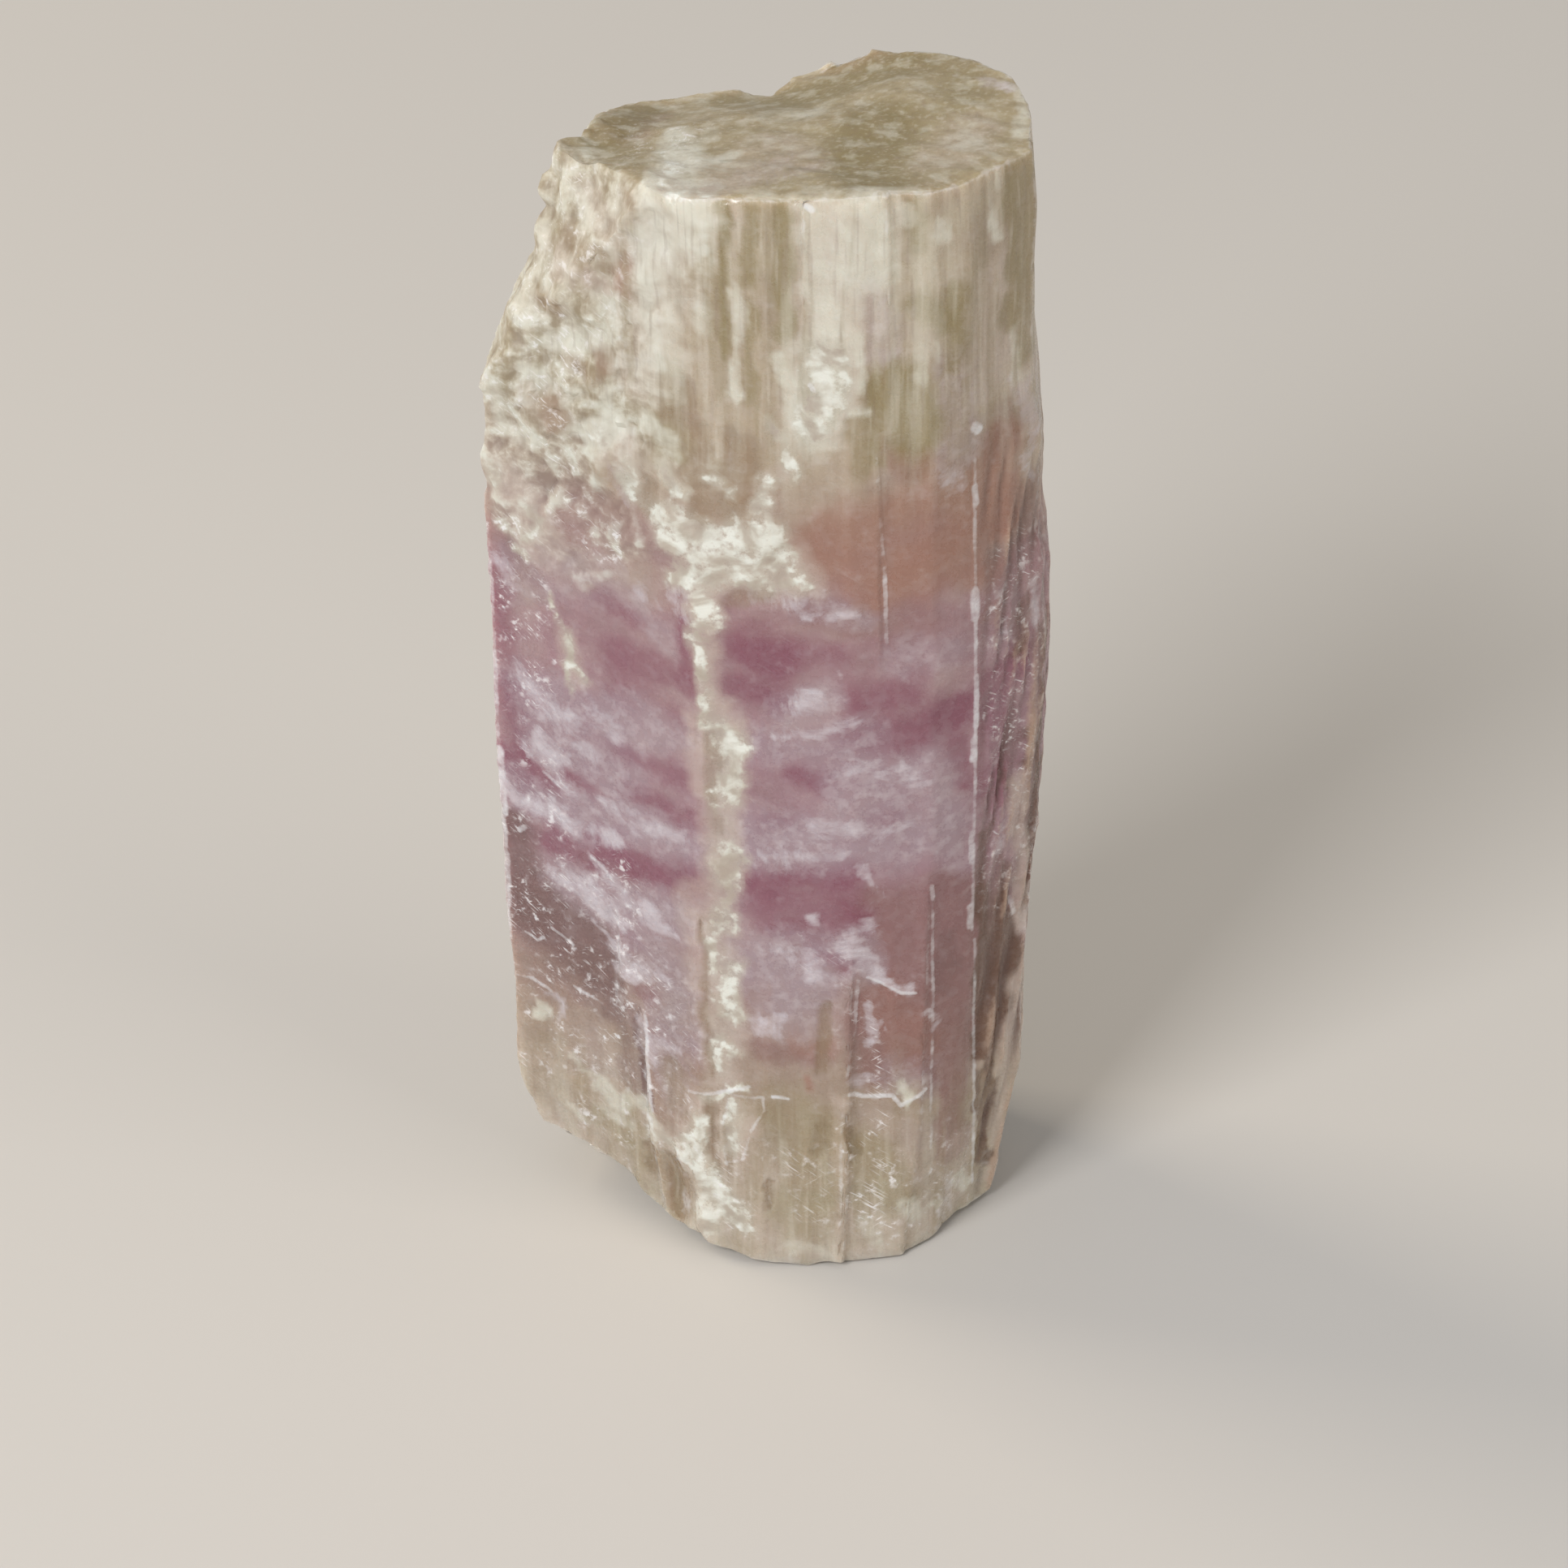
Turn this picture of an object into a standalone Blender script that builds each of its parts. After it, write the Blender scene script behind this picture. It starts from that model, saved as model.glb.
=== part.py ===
"""Aragonite crystal: a squat six-sided twin standing on its broken foot, worked out in millimetres.

X runs to the right, Y to the back and Z up. The origin is the middle of its extent, at the level it rests on.
"""
import math

import bmesh
import bpy
from mathutils import Vector, noise

MM = 0.001

# The prism's outline at mid height, anticlockwise from its left edge as seen from above.
OUTLINE = (
    (-9.60, -0.30),
    (-2.90, -4.85),
    (-2.10, -5.05),
    (-1.30, -5.25),
    (2.20, -5.62),
    (5.00, -5.25),
    (6.35, -4.45),
    (8.60, -1.90),
    (8.75, 0.60),
    (8.15, 2.95),
    (6.75, 4.90),
    (3.40, 6.50),
    (0.60, 6.20),
    (-0.20, 5.55),
    (-1.10, 5.85),
    (-4.80, 5.20),
    (-8.30, 2.60),
)
HEIGHT = 40.0
COLUMN = 0.72
LEVEL = 0.98
CAP_CELL = 0.98

# How far the left and right edges stand out at some heights: (height, x).
LEFT_EDGE = (
    (0.0, -8.75),
    (1.5, -9.20),
    (2.4, -9.46),
    (3.9, -9.62),
    (8.0, -9.58),
    (16.0, -9.50),
    (20.0, -9.58),
    (40.0, -9.66),
)
RIGHT_EDGE = (
    (0.0, 6.95),
    (1.8, 7.30),
    (3.4, 7.72),
    (6.0, 8.15),
    (11.6, 8.45),
    (18.0, 8.66),
    (25.0, 8.78),
    (26.2, 8.50),
    (29.0, 8.62),
    (33.0, 8.18),
    (38.0, 8.28),
    (40.0, 8.12),
)
MID_LEFT = -9.60
MID_RIGHT = 8.75

# Flat breaks that take away the left shoulder: (point on the break, outward direction).
BREAKS = (
    ((-6.62, -0.30, 39.40), (-0.800, -0.525, 0.290)),
    ((-6.55, 0.60, 39.40), (-0.905, 0.250, 0.345)),
    ((-7.60, -0.30, 36.80), (-0.930, -0.200, 0.310)),
    ((-6.10, 4.60, 39.00), (-0.560, 0.610, 0.560)),
)

# Heights of the top face at some spots: (x, y, z).
TOP_SPOTS = (
    (-4.0, -4.6, 39.8),
    (-1.0, -5.2, 40.0),
    (2.5, -5.4, 40.2),
    (6.3, -4.7, 40.05),
    (8.1, -1.0, 39.9),
    (7.4, 3.4, 40.15),
    (5.2, 5.8, 39.95),
    (3.4, 6.5, 39.65),
    (2.1, 6.2, 39.3),
    (1.0, 6.0, 38.9),
    (0.0, 5.8, 38.5),
    (-4.0, 5.1, 38.45),
    (-5.8, 2.0, 39.1),
    (3.0, -2.2, 39.8),
    (-1.0, 0.0, 39.6),
    (4.5, 2.5, 40.0),
)
# How far the base is lifted off the surface at some spots round its rim: (x, y, lift).
BASE_SPOTS = (
    (-8.7, -0.1, 2.2),
    (-7.1, -1.2, 2.0),
    (-6.0, -2.4, 1.8),
    (-5.1, -3.8, 1.2),
    (-3.5, -4.7, 0.85),
    (-2.1, -5.2, 0.40),
    (-0.6, -5.5, 0.12),
    (0.9, -5.8, 0.0),
    (1.45, -5.9, 0.40),
    (2.0, -5.9, 0.08),
    (3.5, -6.0, 0.10),
    (5.2, -5.3, 0.10),
    (6.3, -4.3, 0.35),
    (7.0, -1.5, 0.25),
    (7.4, 3.0, 0.8),
    (3.4, 6.5, 0.7),
    (-0.3, 5.6, 1.3),
    (-4.8, 5.2, 0.6),
    (-8.0, 2.6, 1.9),
)
FOOT_CENTRE = (0.5, 0.1)
FOOT_RADII = (5.2, 4.7)
FOOT_FADE = 0.35
END_REACH = 8.0

# Upright ledges: each sets back the strip of wall between two x, from a low to a high level. The levels climb or
# fall with x by the slant, and run out over the fade.
LEDGES = (
    {"side": "front", "span": (-9.90, -4.86), "depth": 0.30, "levels": (-4.0, 9.4), "slant": 0.0, "fade": 1.6},
    {"side": "front", "span": (-9.90, -5.70), "depth": 0.14, "levels": (7.2, 11.6), "slant": -0.3, "fade": 1.4},
    {"side": "front", "span": (2.25, 9.90), "depth": 0.32, "levels": (-4.0, 11.9), "slant": 0.5, "fade": 1.1},
    {"side": "front", "span": (4.86, 9.90), "depth": 0.20, "levels": (-4.0, 16.0), "slant": 0.0, "fade": 2.6},
    {"side": "front", "span": (3.20, 9.90), "depth": 0.15, "levels": (22.0, 32.0), "slant": 0.0, "fade": 3.0},
    {"side": "front", "span": (0.80, 3.70), "depth": -0.14, "levels": (30.0, 44.0), "slant": 0.0, "fade": 4.0},
    {"side": "back", "span": (-3.20, -1.20), "depth": 0.35, "levels": (-4.0, 22.0), "slant": 0.4, "fade": 2.4},
    {"side": "back", "span": (2.10, 3.30), "depth": 0.28, "levels": (8.0, 44.0), "slant": 0.0, "fade": 2.6},
    {"side": "back", "span": (4.60, 6.00), "depth": 0.30, "levels": (-4.0, 17.0), "slant": -0.6, "fade": 1.8},
    {"side": "back", "span": (-7.60, -5.80), "depth": 0.26, "levels": (12.0, 33.0), "slant": 0.0, "fade": 2.6},
)
RISER = 0.07
LEDGE_WANDER = 1.1
CORNER_FROM = 6.2
CORNER_TO = 8.4

# The twin seams run up the front and the back as shallow, wavering grooves: (side, x, half width, depth, top).
SEAMS = (("front", -2.10, 0.85, 0.24, 25.0), ("back", -0.20, 1.00, 0.22, 44.0))
SEAM_FADE = 5.0
SEAM_WAVER = 0.25

# The front leans out towards the foot: by how much, below which height, and between which x.
LEAN = 0.55
LEAN_TOP = 13.0
LEAN_FROM = -3.5
LEAN_TO = 7.8
LEAN_FADE = 2.0

# Pits and lumps on the walls: (x, y, z), half width, half height, depth (negative for a lump).
SPOTS = (
    ((-4.1, -4.2, 1.7), 0.60, 1.10, 0.60),
    ((-1.6, -5.2, 5.4), 0.60, 1.30, -0.28),
    ((1.45, -5.9, 0.2), 0.35, 0.80, 0.45),
    ((5.4, -5.0, 21.1), 0.75, 0.95, 0.34),
    ((-0.6, -5.3, 28.5), 1.50, 2.60, -0.25),
    ((-2.2, -4.9, 24.0), 1.60, 1.80, -0.22),
    ((-7.4, -1.9, 21.0), 1.10, 3.00, -0.22),
    ((8.5, 1.0, 22.5), 1.60, 3.20, -0.20),
    ((8.4, -1.0, 10.0), 1.20, 4.00, 0.30),
    ((-6.8, 3.6, 26.5), 1.80, 4.20, 0.50),
    ((1.6, 6.2, 30.0), 1.50, 3.40, 0.45),
    ((5.4, 5.5, 24.0), 1.30, 2.60, -0.25),
    ((-3.0, 5.4, 8.0), 1.40, 2.60, 0.45),
)

# Roughness of the walls: the grainy break at the upper left, the fibres of the right face, and everywhere else.
GRAIN_SIZE = 1.45
GRAIN_DEPTH = 0.34
FIBRE_WIDTH = 0.55
FIBRE_LENGTH = 7.0
FIBRE_DEPTH = 0.13
FACE_SIZE = 3.2
FACE_DEPTH = 0.10


def clear_scene():
    """Remove every object of the open file."""
    for item in list(bpy.data.objects):
        bpy.data.objects.remove(item, do_unlink=True)


def smooth(low, high, value):
    """Rise from 0 at low to 1 at high along a smooth curve."""
    part = min(max((value - low) / (high - low), 0.0), 1.0)
    return part * part * (3.0 - 2.0 * part)


def along(table, height):
    """Read a table of (height, value) at any height, straight between its rows."""
    for (low, first), (high, second) in zip(table, table[1:]):
        if height <= high:
            part = max(height - low, 0.0) / (high - low)
            return first + (second - first) * part
    return table[-1][1]


def from_spots(spots, x, y):
    """Blend the spots' values at a place, the nearest ones counting most."""
    total = 0.0
    weights = 0.0
    for spot_x, spot_y, value in spots:
        distance = (x - spot_x) ** 2 + (y - spot_y) ** 2 + 0.02
        weight = distance ** -1.6
        total += weight * value
        weights += weight
    return total / weights


def slice_faces(bm, faces, point, normal):
    """Cut the faces by a plane and keep both sides; return the faces that now cover the same area."""
    verts = {vert for face in faces for vert in face.verts}
    edges = {edge for face in faces for edge in face.edges}
    cut = bmesh.ops.bisect_plane(bm, geom=[*faces, *edges, *verts], plane_co=point, plane_no=normal, dist=1e-5)
    kept = {item for item in cut["geom"] if isinstance(item, bmesh.types.BMFace)}
    return [face for face in kept if face.is_valid]


def break_off(bm, point, normal):
    """Break the solid along a plane, and close it with one flat face."""
    everything = [*bm.verts, *bm.edges, *bm.faces]
    cut = bmesh.ops.bisect_plane(bm, geom=everything, plane_co=point, plane_no=normal, clear_outer=True, dist=1e-5)
    rim = [item for item in cut["geom_cut"] if isinstance(item, bmesh.types.BMEdge)]
    bmesh.ops.holes_fill(bm, edges=rim, sides=0)


def on_side(face, side):
    """Whether a wall faces the front or the back."""
    return abs(face.normal.z) < 0.5 and (face.calc_center_median().y < 0.0) == (side == "front")


def make_blank():
    """Make the six-sided prism with its shoulder broken off, as a few large faces."""
    bm = bmesh.new()
    base = bm.faces.new([bm.verts.new((x, y, 0.0)) for x, y in OUTLINE])
    for edge in list(bm.edges):
        cuts = round(edge.calc_length() / COLUMN) - 1
        if cuts > 0:
            bmesh.ops.subdivide_edges(bm, edges=[edge], cuts=cuts)
    raised = bmesh.ops.extrude_face_region(bm, geom=[base])["geom"]
    bmesh.ops.translate(bm, verts=[item for item in raised if isinstance(item, bmesh.types.BMVert)], vec=(0, 0, HEIGHT))
    bmesh.ops.recalc_face_normals(bm, faces=bm.faces)
    for ledge in LEDGES:
        for x in (end + offset for end in ledge["span"] for offset in (-RISER, RISER)):
            slice_faces(bm, [face for face in bm.faces if on_side(face, ledge["side"])], (x, 0, 0), (1, 0, 0))
    for point, normal in BREAKS:
        break_off(bm, point, normal)
    return bm


def add_detail(bm):
    """Divide the walls into levels, and the ends and breaks into cells of about the same size."""
    levels = round(HEIGHT / LEVEL)
    for step in range(1, levels):
        slice_faces(bm, list(bm.faces), (0, 0, HEIGHT * step / levels), (0, 0, 1))
    ends = [face for face in bm.faces if abs(face.normal.z) > 0.15]
    columns = round((MID_RIGHT - MID_LEFT) / CAP_CELL)
    for step in range(1, columns):
        ends = slice_faces(bm, ends, (MID_LEFT + CAP_CELL * (step + 0.35), 0, 0), (1, 0, 0))
    for step in range(-6, 7):
        ends = slice_faces(bm, ends, (0, CAP_CELL * (step + 0.2), 0), (0, 1, 0))
    bmesh.ops.remove_doubles(bm, verts=bm.verts, dist=RISER * 1.2)
    bmesh.ops.dissolve_degenerate(bm, edges=bm.edges, dist=0.02)


def ledge_depth(x, y, z):
    """How far the ledges set the wall back at a place."""
    depth = 0.0
    for ledge in LEDGES:
        if (ledge["side"] == "front") != (y < 0.0):
            continue
        start, end = ledge["span"]
        low, high = ledge["levels"]
        inside = smooth(start - RISER, start + RISER, x) * (1.0 - smooth(end - RISER, end + RISER, x))
        inside *= 1.0 - smooth(CORNER_FROM, CORNER_TO, x)
        level = z + ledge["slant"] * (x - max(start, MID_LEFT))
        level += LEDGE_WANDER * noise.noise(Vector((0.9 * x, low, high)))
        upright = smooth(low, low + ledge["fade"], level) * (1.0 - smooth(high - ledge["fade"], high, level))
        depth += ledge["depth"] * inside * upright
    return depth


def seam_depth(x, y, z):
    """How far the twin seams cut into the wall at a place."""
    depth = 0.0
    for side, middle, half_width, amount, top in SEAMS:
        if (side == "front") == (y < 0.0):
            wavering = middle + SEAM_WAVER * noise.noise(Vector((0.0, middle, z / 2.3)))
            share = max(1.0 - abs(x - wavering) / half_width, 0.0)
            uneven = 1.0 + 0.7 * noise.noise(Vector((x, 5.1, z / 1.4)))
            depth += amount * share * uneven * (1.0 - smooth(top - SEAM_FADE, top, z))
    return depth


def lean(x, y, z):
    """How far the front leans out towards the foot at a place."""
    if y > 0.0 or z > LEAN_TOP:
        return 0.0
    across = smooth(LEAN_FROM - LEAN_FADE, LEAN_FROM + LEAN_FADE, x) * (1.0 - smooth(LEAN_TO - LEAN_FADE, LEAN_TO, x))
    return LEAN * across * (1.0 - z / LEAN_TOP)


def spot_depth(x, y, z):
    """How far the pits and lumps move the wall inwards at a place."""
    depth = 0.0
    for (spot_x, spot_y, spot_z), half_width, half_height, amount in SPOTS:
        reach = ((x - spot_x) ** 2 + (y - spot_y) ** 2) / half_width ** 2 + (z - spot_z) ** 2 / half_height ** 2
        depth += amount * math.exp(-reach)
    return depth


def grainy(x, y, z):
    """1 on the sugary break at the upper left, 0 away from it."""
    return smooth(-3.0, -5.5, x) * smooth(21.0, 29.0, z) * smooth(4.5, 1.0, y)


def fibrous(x):
    """1 on the fibrous right face, 0 away from it."""
    return smooth(6.0, 7.2, x)


def roughness(x, y, z):
    """How far the natural unevenness moves the wall outwards at a place."""
    grains = noise.noise(Vector((x, y, z)) / GRAIN_SIZE) + 0.5 * noise.noise(Vector((z, x, y)) / (0.6 * GRAIN_SIZE))
    slant = x + y + 0.10 * z
    fibres = noise.noise(Vector((slant / FIBRE_WIDTH, 7.3, z / FIBRE_LENGTH)))
    faces = noise.noise(Vector((x, y, 0.45 * z)) / FACE_SIZE)
    share = grainy(x, y, z)
    moved = share * GRAIN_DEPTH * grains + (1.0 - share) * FACE_DEPTH * faces
    return moved + fibrous(x) * FIBRE_DEPTH * fibres


def foot_lift(x, y):
    """How far the base is lifted at a place: nothing on the foot, and more towards the chipped rim."""
    reach = math.hypot((x - FOOT_CENTRE[0]) / FOOT_RADII[0], (y - FOOT_CENTRE[1]) / FOOT_RADII[1])
    return from_spots(BASE_SPOTS, x, y) * smooth(1.0, 1.0 + FOOT_FADE, reach)


def shape_vert(vert, upright):
    """Move one point of the plain prism to where the real face is."""
    x, y, z = vert.co
    if upright:
        out = Vector((vert.normal.x, vert.normal.y))
        if out.length > 0.0:
            out.normalize()
        moved = roughness(x, y, z) + lean(x, y, z)
        moved -= ledge_depth(x, y, z) + seam_depth(x, y, z) + spot_depth(x, y, z)
        x += out.x * moved
        y += out.y * moved
    x *= along(LEFT_EDGE, z) / MID_LEFT if x < 0.0 else along(RIGHT_EDGE, z) / MID_RIGHT
    low = max(1.0 - z / END_REACH, 0.0)
    high = max(1.0 - (HEIGHT - z) / END_REACH, 0.0)
    z += foot_lift(x, y) * low + (from_spots(TOP_SPOTS, x, y) - HEIGHT) * high
    if not upright and high > 0.9:
        z += 0.12 * noise.noise(Vector((x, y, 3.0)) / 1.7)
    vert.co = (x, y, z)


def shape(bm):
    """Give the prism its ledges, seams, pits, uneven top and chipped base."""
    bm.normal_update()
    upright = {vert.index: any(abs(face.normal.z) < 0.9 for face in vert.link_faces) for vert in bm.verts}
    for vert in bm.verts:
        shape_vert(vert, upright[vert.index])
    bmesh.ops.triangulate(bm, faces=bm.faces, quad_method="BEAUTY", ngon_method="BEAUTY")
    bmesh.ops.dissolve_degenerate(bm, edges=bm.edges, dist=0.01)
    bmesh.ops.triangulate(bm, faces=bm.faces)
    bmesh.ops.recalc_face_normals(bm, faces=bm.faces)


def centre(bm):
    """Bring the middle of the crystal's extent over the origin, with the foot at its level."""
    middle = [0.5 * (min(v.co[i] for v in bm.verts) + max(v.co[i] for v in bm.verts)) for i in range(2)]
    bmesh.ops.translate(bm, verts=bm.verts, vec=(-middle[0], -middle[1], -min(v.co.z for v in bm.verts)))


def make_stone():
    """Cloudy aragonite: beige at the ends, violet-pink in the middle, waxy and translucent."""
    material = bpy.data.materials.new("aragonite")
    material.use_nodes = True
    shader = material.node_tree.nodes["Principled BSDF"]
    shader.inputs["Base Color"].default_value = (0.45, 0.34, 0.32, 1.0)
    shader.inputs["Roughness"].default_value = 0.38
    shader.inputs["Metallic"].default_value = 0.0
    shader.inputs["IOR"].default_value = 1.6
    return material


def main():
    clear_scene()
    bm = make_blank()
    add_detail(bm)
    bm.verts.index_update()
    shape(bm)
    centre(bm)
    bmesh.ops.scale(bm, verts=bm.verts, vec=(MM, MM, MM))
    mesh = bpy.data.meshes.new("aragonite_crystal")
    bm.to_mesh(mesh)
    bm.free()
    mesh.materials.append(make_stone())
    crystal = bpy.data.objects.new("aragonite_crystal", mesh)
    bpy.context.scene.collection.objects.link(crystal)


main()
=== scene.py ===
import math

import bmesh
import bpy
import numpy as np
from mathutils import Euler, Matrix, Vector, noise


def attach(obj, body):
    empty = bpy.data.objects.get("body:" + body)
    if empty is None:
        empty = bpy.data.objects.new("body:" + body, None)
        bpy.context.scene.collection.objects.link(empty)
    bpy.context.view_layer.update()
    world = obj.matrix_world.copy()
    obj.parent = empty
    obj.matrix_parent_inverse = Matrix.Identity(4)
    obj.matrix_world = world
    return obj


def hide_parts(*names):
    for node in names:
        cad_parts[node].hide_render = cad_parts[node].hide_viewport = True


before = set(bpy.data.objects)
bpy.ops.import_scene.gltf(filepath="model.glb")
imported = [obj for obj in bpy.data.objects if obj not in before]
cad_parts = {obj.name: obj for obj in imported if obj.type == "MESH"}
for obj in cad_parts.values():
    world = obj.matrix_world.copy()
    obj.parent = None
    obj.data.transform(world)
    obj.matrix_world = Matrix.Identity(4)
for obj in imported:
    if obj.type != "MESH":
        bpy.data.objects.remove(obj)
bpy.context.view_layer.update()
scene = bpy.context.scene
mm = 0.001
print("frame loaded")


def toLinear(hexColour):
    # sRGB hex to the linear colour that Blender's sockets take
    parts = [int(hexColour[i:i + 2], 16) / 255 for i in (1, 3, 5)]
    return [p / 12.92 if p <= 0.04045 else ((p + 0.055) / 1.055) ** 2.4 for p in parts] + [1.0]


# Camera, as in the photograph: about 215 mm away, looking down on the crystal.
cameraSetup = {
    "place": (0.41, -176.7, 123.8),   # mm
    "lookDown": 31.5,                 # degrees below level
    "roll": -0.76,
    "lens": 141.6,                    # mm on a 36 mm sensor
}


def placeCamera():
    data = bpy.data.cameras.new("photoCamera")
    data.sensor_width = 36.0
    data.lens = cameraSetup["lens"]
    data.clip_start = 0.005
    data.clip_end = 20.0
    camera = bpy.data.objects.new("photoCamera", data)
    scene.collection.objects.link(camera)
    turn = Euler((math.radians(90 - cameraSetup["lookDown"]), 0, 0)).to_matrix()
    turn = turn @ Matrix.Rotation(math.radians(cameraSetup["roll"]), 3, "Z")
    camera.matrix_world = Matrix.Translation(Vector(cameraSetup["place"]) * mm) @ turn.to_4x4()
    scene.camera = camera


# A pale table under big soft lamps, none of them near enough to burn out the pale crust.
studioSetup = {
    "floor": "#CFCBC5",
    "floorSize": 3.0,                 # metres across
    "world": "#E2E5E9",
    "worldStrength": 0.40,
    "lamps": (
        # name, place in m, size in m, watts, colour
        ("keyLamp", (-0.24, -0.32, 0.30), 0.20, 1.85, "#F9F9FA"),
        ("fillLamp", (0.40, -0.26, 0.20), 0.30, 0.75, "#FDF4E9"),
        ("rimLamp", (-0.34, 0.20, 0.32), 0.20, 0.90, "#FFF0DA"),
    ),
    "aim": (0.0, 0.0, 0.020),
}


def buildStudio():
    scene.view_settings.view_transform = "Standard"
    scene.cycles.max_bounces = 5
    scene.cycles.diffuse_bounces = 3
    world = bpy.data.worlds.new("paleRoom")
    world.use_nodes = True
    background = world.node_tree.nodes["Background"]
    background.inputs["Color"].default_value = toLinear(studioSetup["world"])
    background.inputs["Strength"].default_value = studioSetup["worldStrength"]
    scene.world = world

    bm = bmesh.new()
    bmesh.ops.create_grid(bm, x_segments=1, y_segments=1, size=studioSetup["floorSize"] / 2)
    mesh = bpy.data.meshes.new("tableTop")
    bm.to_mesh(mesh)
    bm.free()
    floor = bpy.data.objects.new("tableTop", mesh)
    scene.collection.objects.link(floor)
    paint = bpy.data.materials.new("mattTablePaint")
    paint.use_nodes = True
    shader = paint.node_tree.nodes["Principled BSDF"]
    shader.inputs["Base Color"].default_value = toLinear(studioSetup["floor"])
    shader.inputs["Roughness"].default_value = 0.75
    mesh.materials.append(paint)

    for name, place, size, watts, colour in studioSetup["lamps"]:
        lamp = bpy.data.lights.new(name, "AREA")
        lamp.size = size
        lamp.energy = watts
        lamp.color = toLinear(colour)[:3]
        holder = bpy.data.objects.new(name, lamp)
        holder.location = place
        holder.rotation_euler = (Vector(studioSetup["aim"]) - Vector(place)).to_track_quat("-Z", "Y").to_euler()
        scene.collection.objects.link(holder)


placeCamera()
buildStudio()
print("camera and studio ready")

# The crystal, in millimetres until it is finished. X runs right, Y back, Z up.
crystalShape = {
    "sharpFrom": 27.0,      # degrees between two faces past which their edge stays crisp
    "crispness": 0.9,
    "capCrispness": 0.45,   # the cap's rim is worn rounder
    "stepCrispness": 0.35,  # and so are the low growth steps of the front
    "nudges": (
        # place and reach in mm, then how far the stone there is drawn out
        ((-6.1, 0.0, 39.2), 1.1, (-0.30, 0.0, 0.20)),
        ((-6.75, 0.0, 37.9), 0.75, (-0.42, 0.0, 0.15)),
    ),
    "stepSoftening": 6,     # turns of smoothing on those steps
    "subdivisions": 2,
    "lumpSize": 1.5,        # mm, lumps of the broken shoulder
    "lumpHeight": 0.22,
    "grainSize": 0.55,      # mm, sugary grains on those lumps
    "grainHeight": 0.21,
    "striaWidth": 0.42,     # mm, growth lines on the upright faces
    "striaHeight": 0.075,
    "fibreWidth": 0.34,     # mm, slanting fibres of the right face
    "fibreHeight": 0.17,
    "crustKnob": 0.75,      # mm, knobs of the cream crust
    "crustHeight": 0.20,
    "beadHeight": 0.025,    # mm, the thin pale lines stand proud by this
    "chip": 0.20,           # how deep the crisp edges are nibbled
}


def smooth(low, high, value):
    part = np.clip((np.asarray(value, float) - low) / (high - low), 0.0, 1.0)
    return part * part * (3.0 - 2.0 * part)


def noiseAt(points, size, seed=0.0):
    # size is one number in mm, or one for each axis; the result runs from about -1 to 1
    scaled = points / np.asarray(size, float) + seed
    return np.array([noise.noise(Vector(p)) for p in scaled])


def cellsAt(points, size, seed=0.0):
    # 0 in the middle of a grain, growing to its border; the second number is the gap to the next grain
    near = np.array([noise.voronoi(Vector(p))[0][:2] for p in points / size + seed])
    return near[:, 0], near[:, 1] - near[:, 0]


def refineMesh():
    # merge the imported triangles, keep the crisp edges crisp and round the rest a little
    bm = bmesh.new()
    bm.from_mesh(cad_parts["aragonite_crystal"].data)
    bmesh.ops.remove_doubles(bm, verts=bm.verts, dist=1e-7)
    bmesh.ops.scale(bm, verts=bm.verts, vec=(1 / mm, 1 / mm, 1 / mm))
    bmesh.ops.join_triangles(
        bm, faces=bm.faces, angle_face_threshold=math.radians(25), angle_shape_threshold=math.radians(60)
    )
    crease = bm.edges.layers.float.new("crease_edge")
    for edge in bm.edges:
        if edge.is_manifold and math.degrees(edge.calc_face_angle()) > crystalShape["sharpFrom"]:
            middle = (edge.verts[0].co + edge.verts[1].co) / 2
            onCap = min(v.co.z for v in edge.verts) > 36.5
            onStep = middle.y < 0.0 and abs(middle.x) < 6.3 and middle.z > 2.5
            kind = "capCrispness" if onCap else "stepCrispness" if onStep else "crispness"
            edge[crease] = crystalShape[kind]
    mesh = bpy.data.meshes.new("crystalCage")
    bm.to_mesh(mesh)
    bm.free()
    cage = bpy.data.objects.new("crystalCage", mesh)
    scene.collection.objects.link(cage)
    rounding = cage.modifiers.new("rounding", "SUBSURF")
    rounding.levels = rounding.render_levels = crystalShape["subdivisions"]
    fine = bpy.data.meshes.new_from_object(cage.evaluated_get(bpy.context.evaluated_depsgraph_get()))
    bpy.data.objects.remove(cage)
    bm = bmesh.new()
    bm.from_mesh(fine)
    bpy.data.meshes.remove(fine)
    return bm


def readPoints(bm):
    bm.normal_update()
    places = np.array([v.co for v in bm.verts])
    normals = np.array([v.normal for v in bm.verts])
    return places, normals


def edgeWear(bm):
    # 1 on the crisp edges, 0 on the faces
    wearAndSheen = np.zeros(len(bm.verts))
    bm.verts.index_update()
    for edge in bm.edges:
        if edge.is_manifold and edge.calc_face_angle_signed() > math.radians(16):
            for vert in edge.verts:
                wearAndSheen[vert.index] = 1.0
    return wearAndSheen
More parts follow.
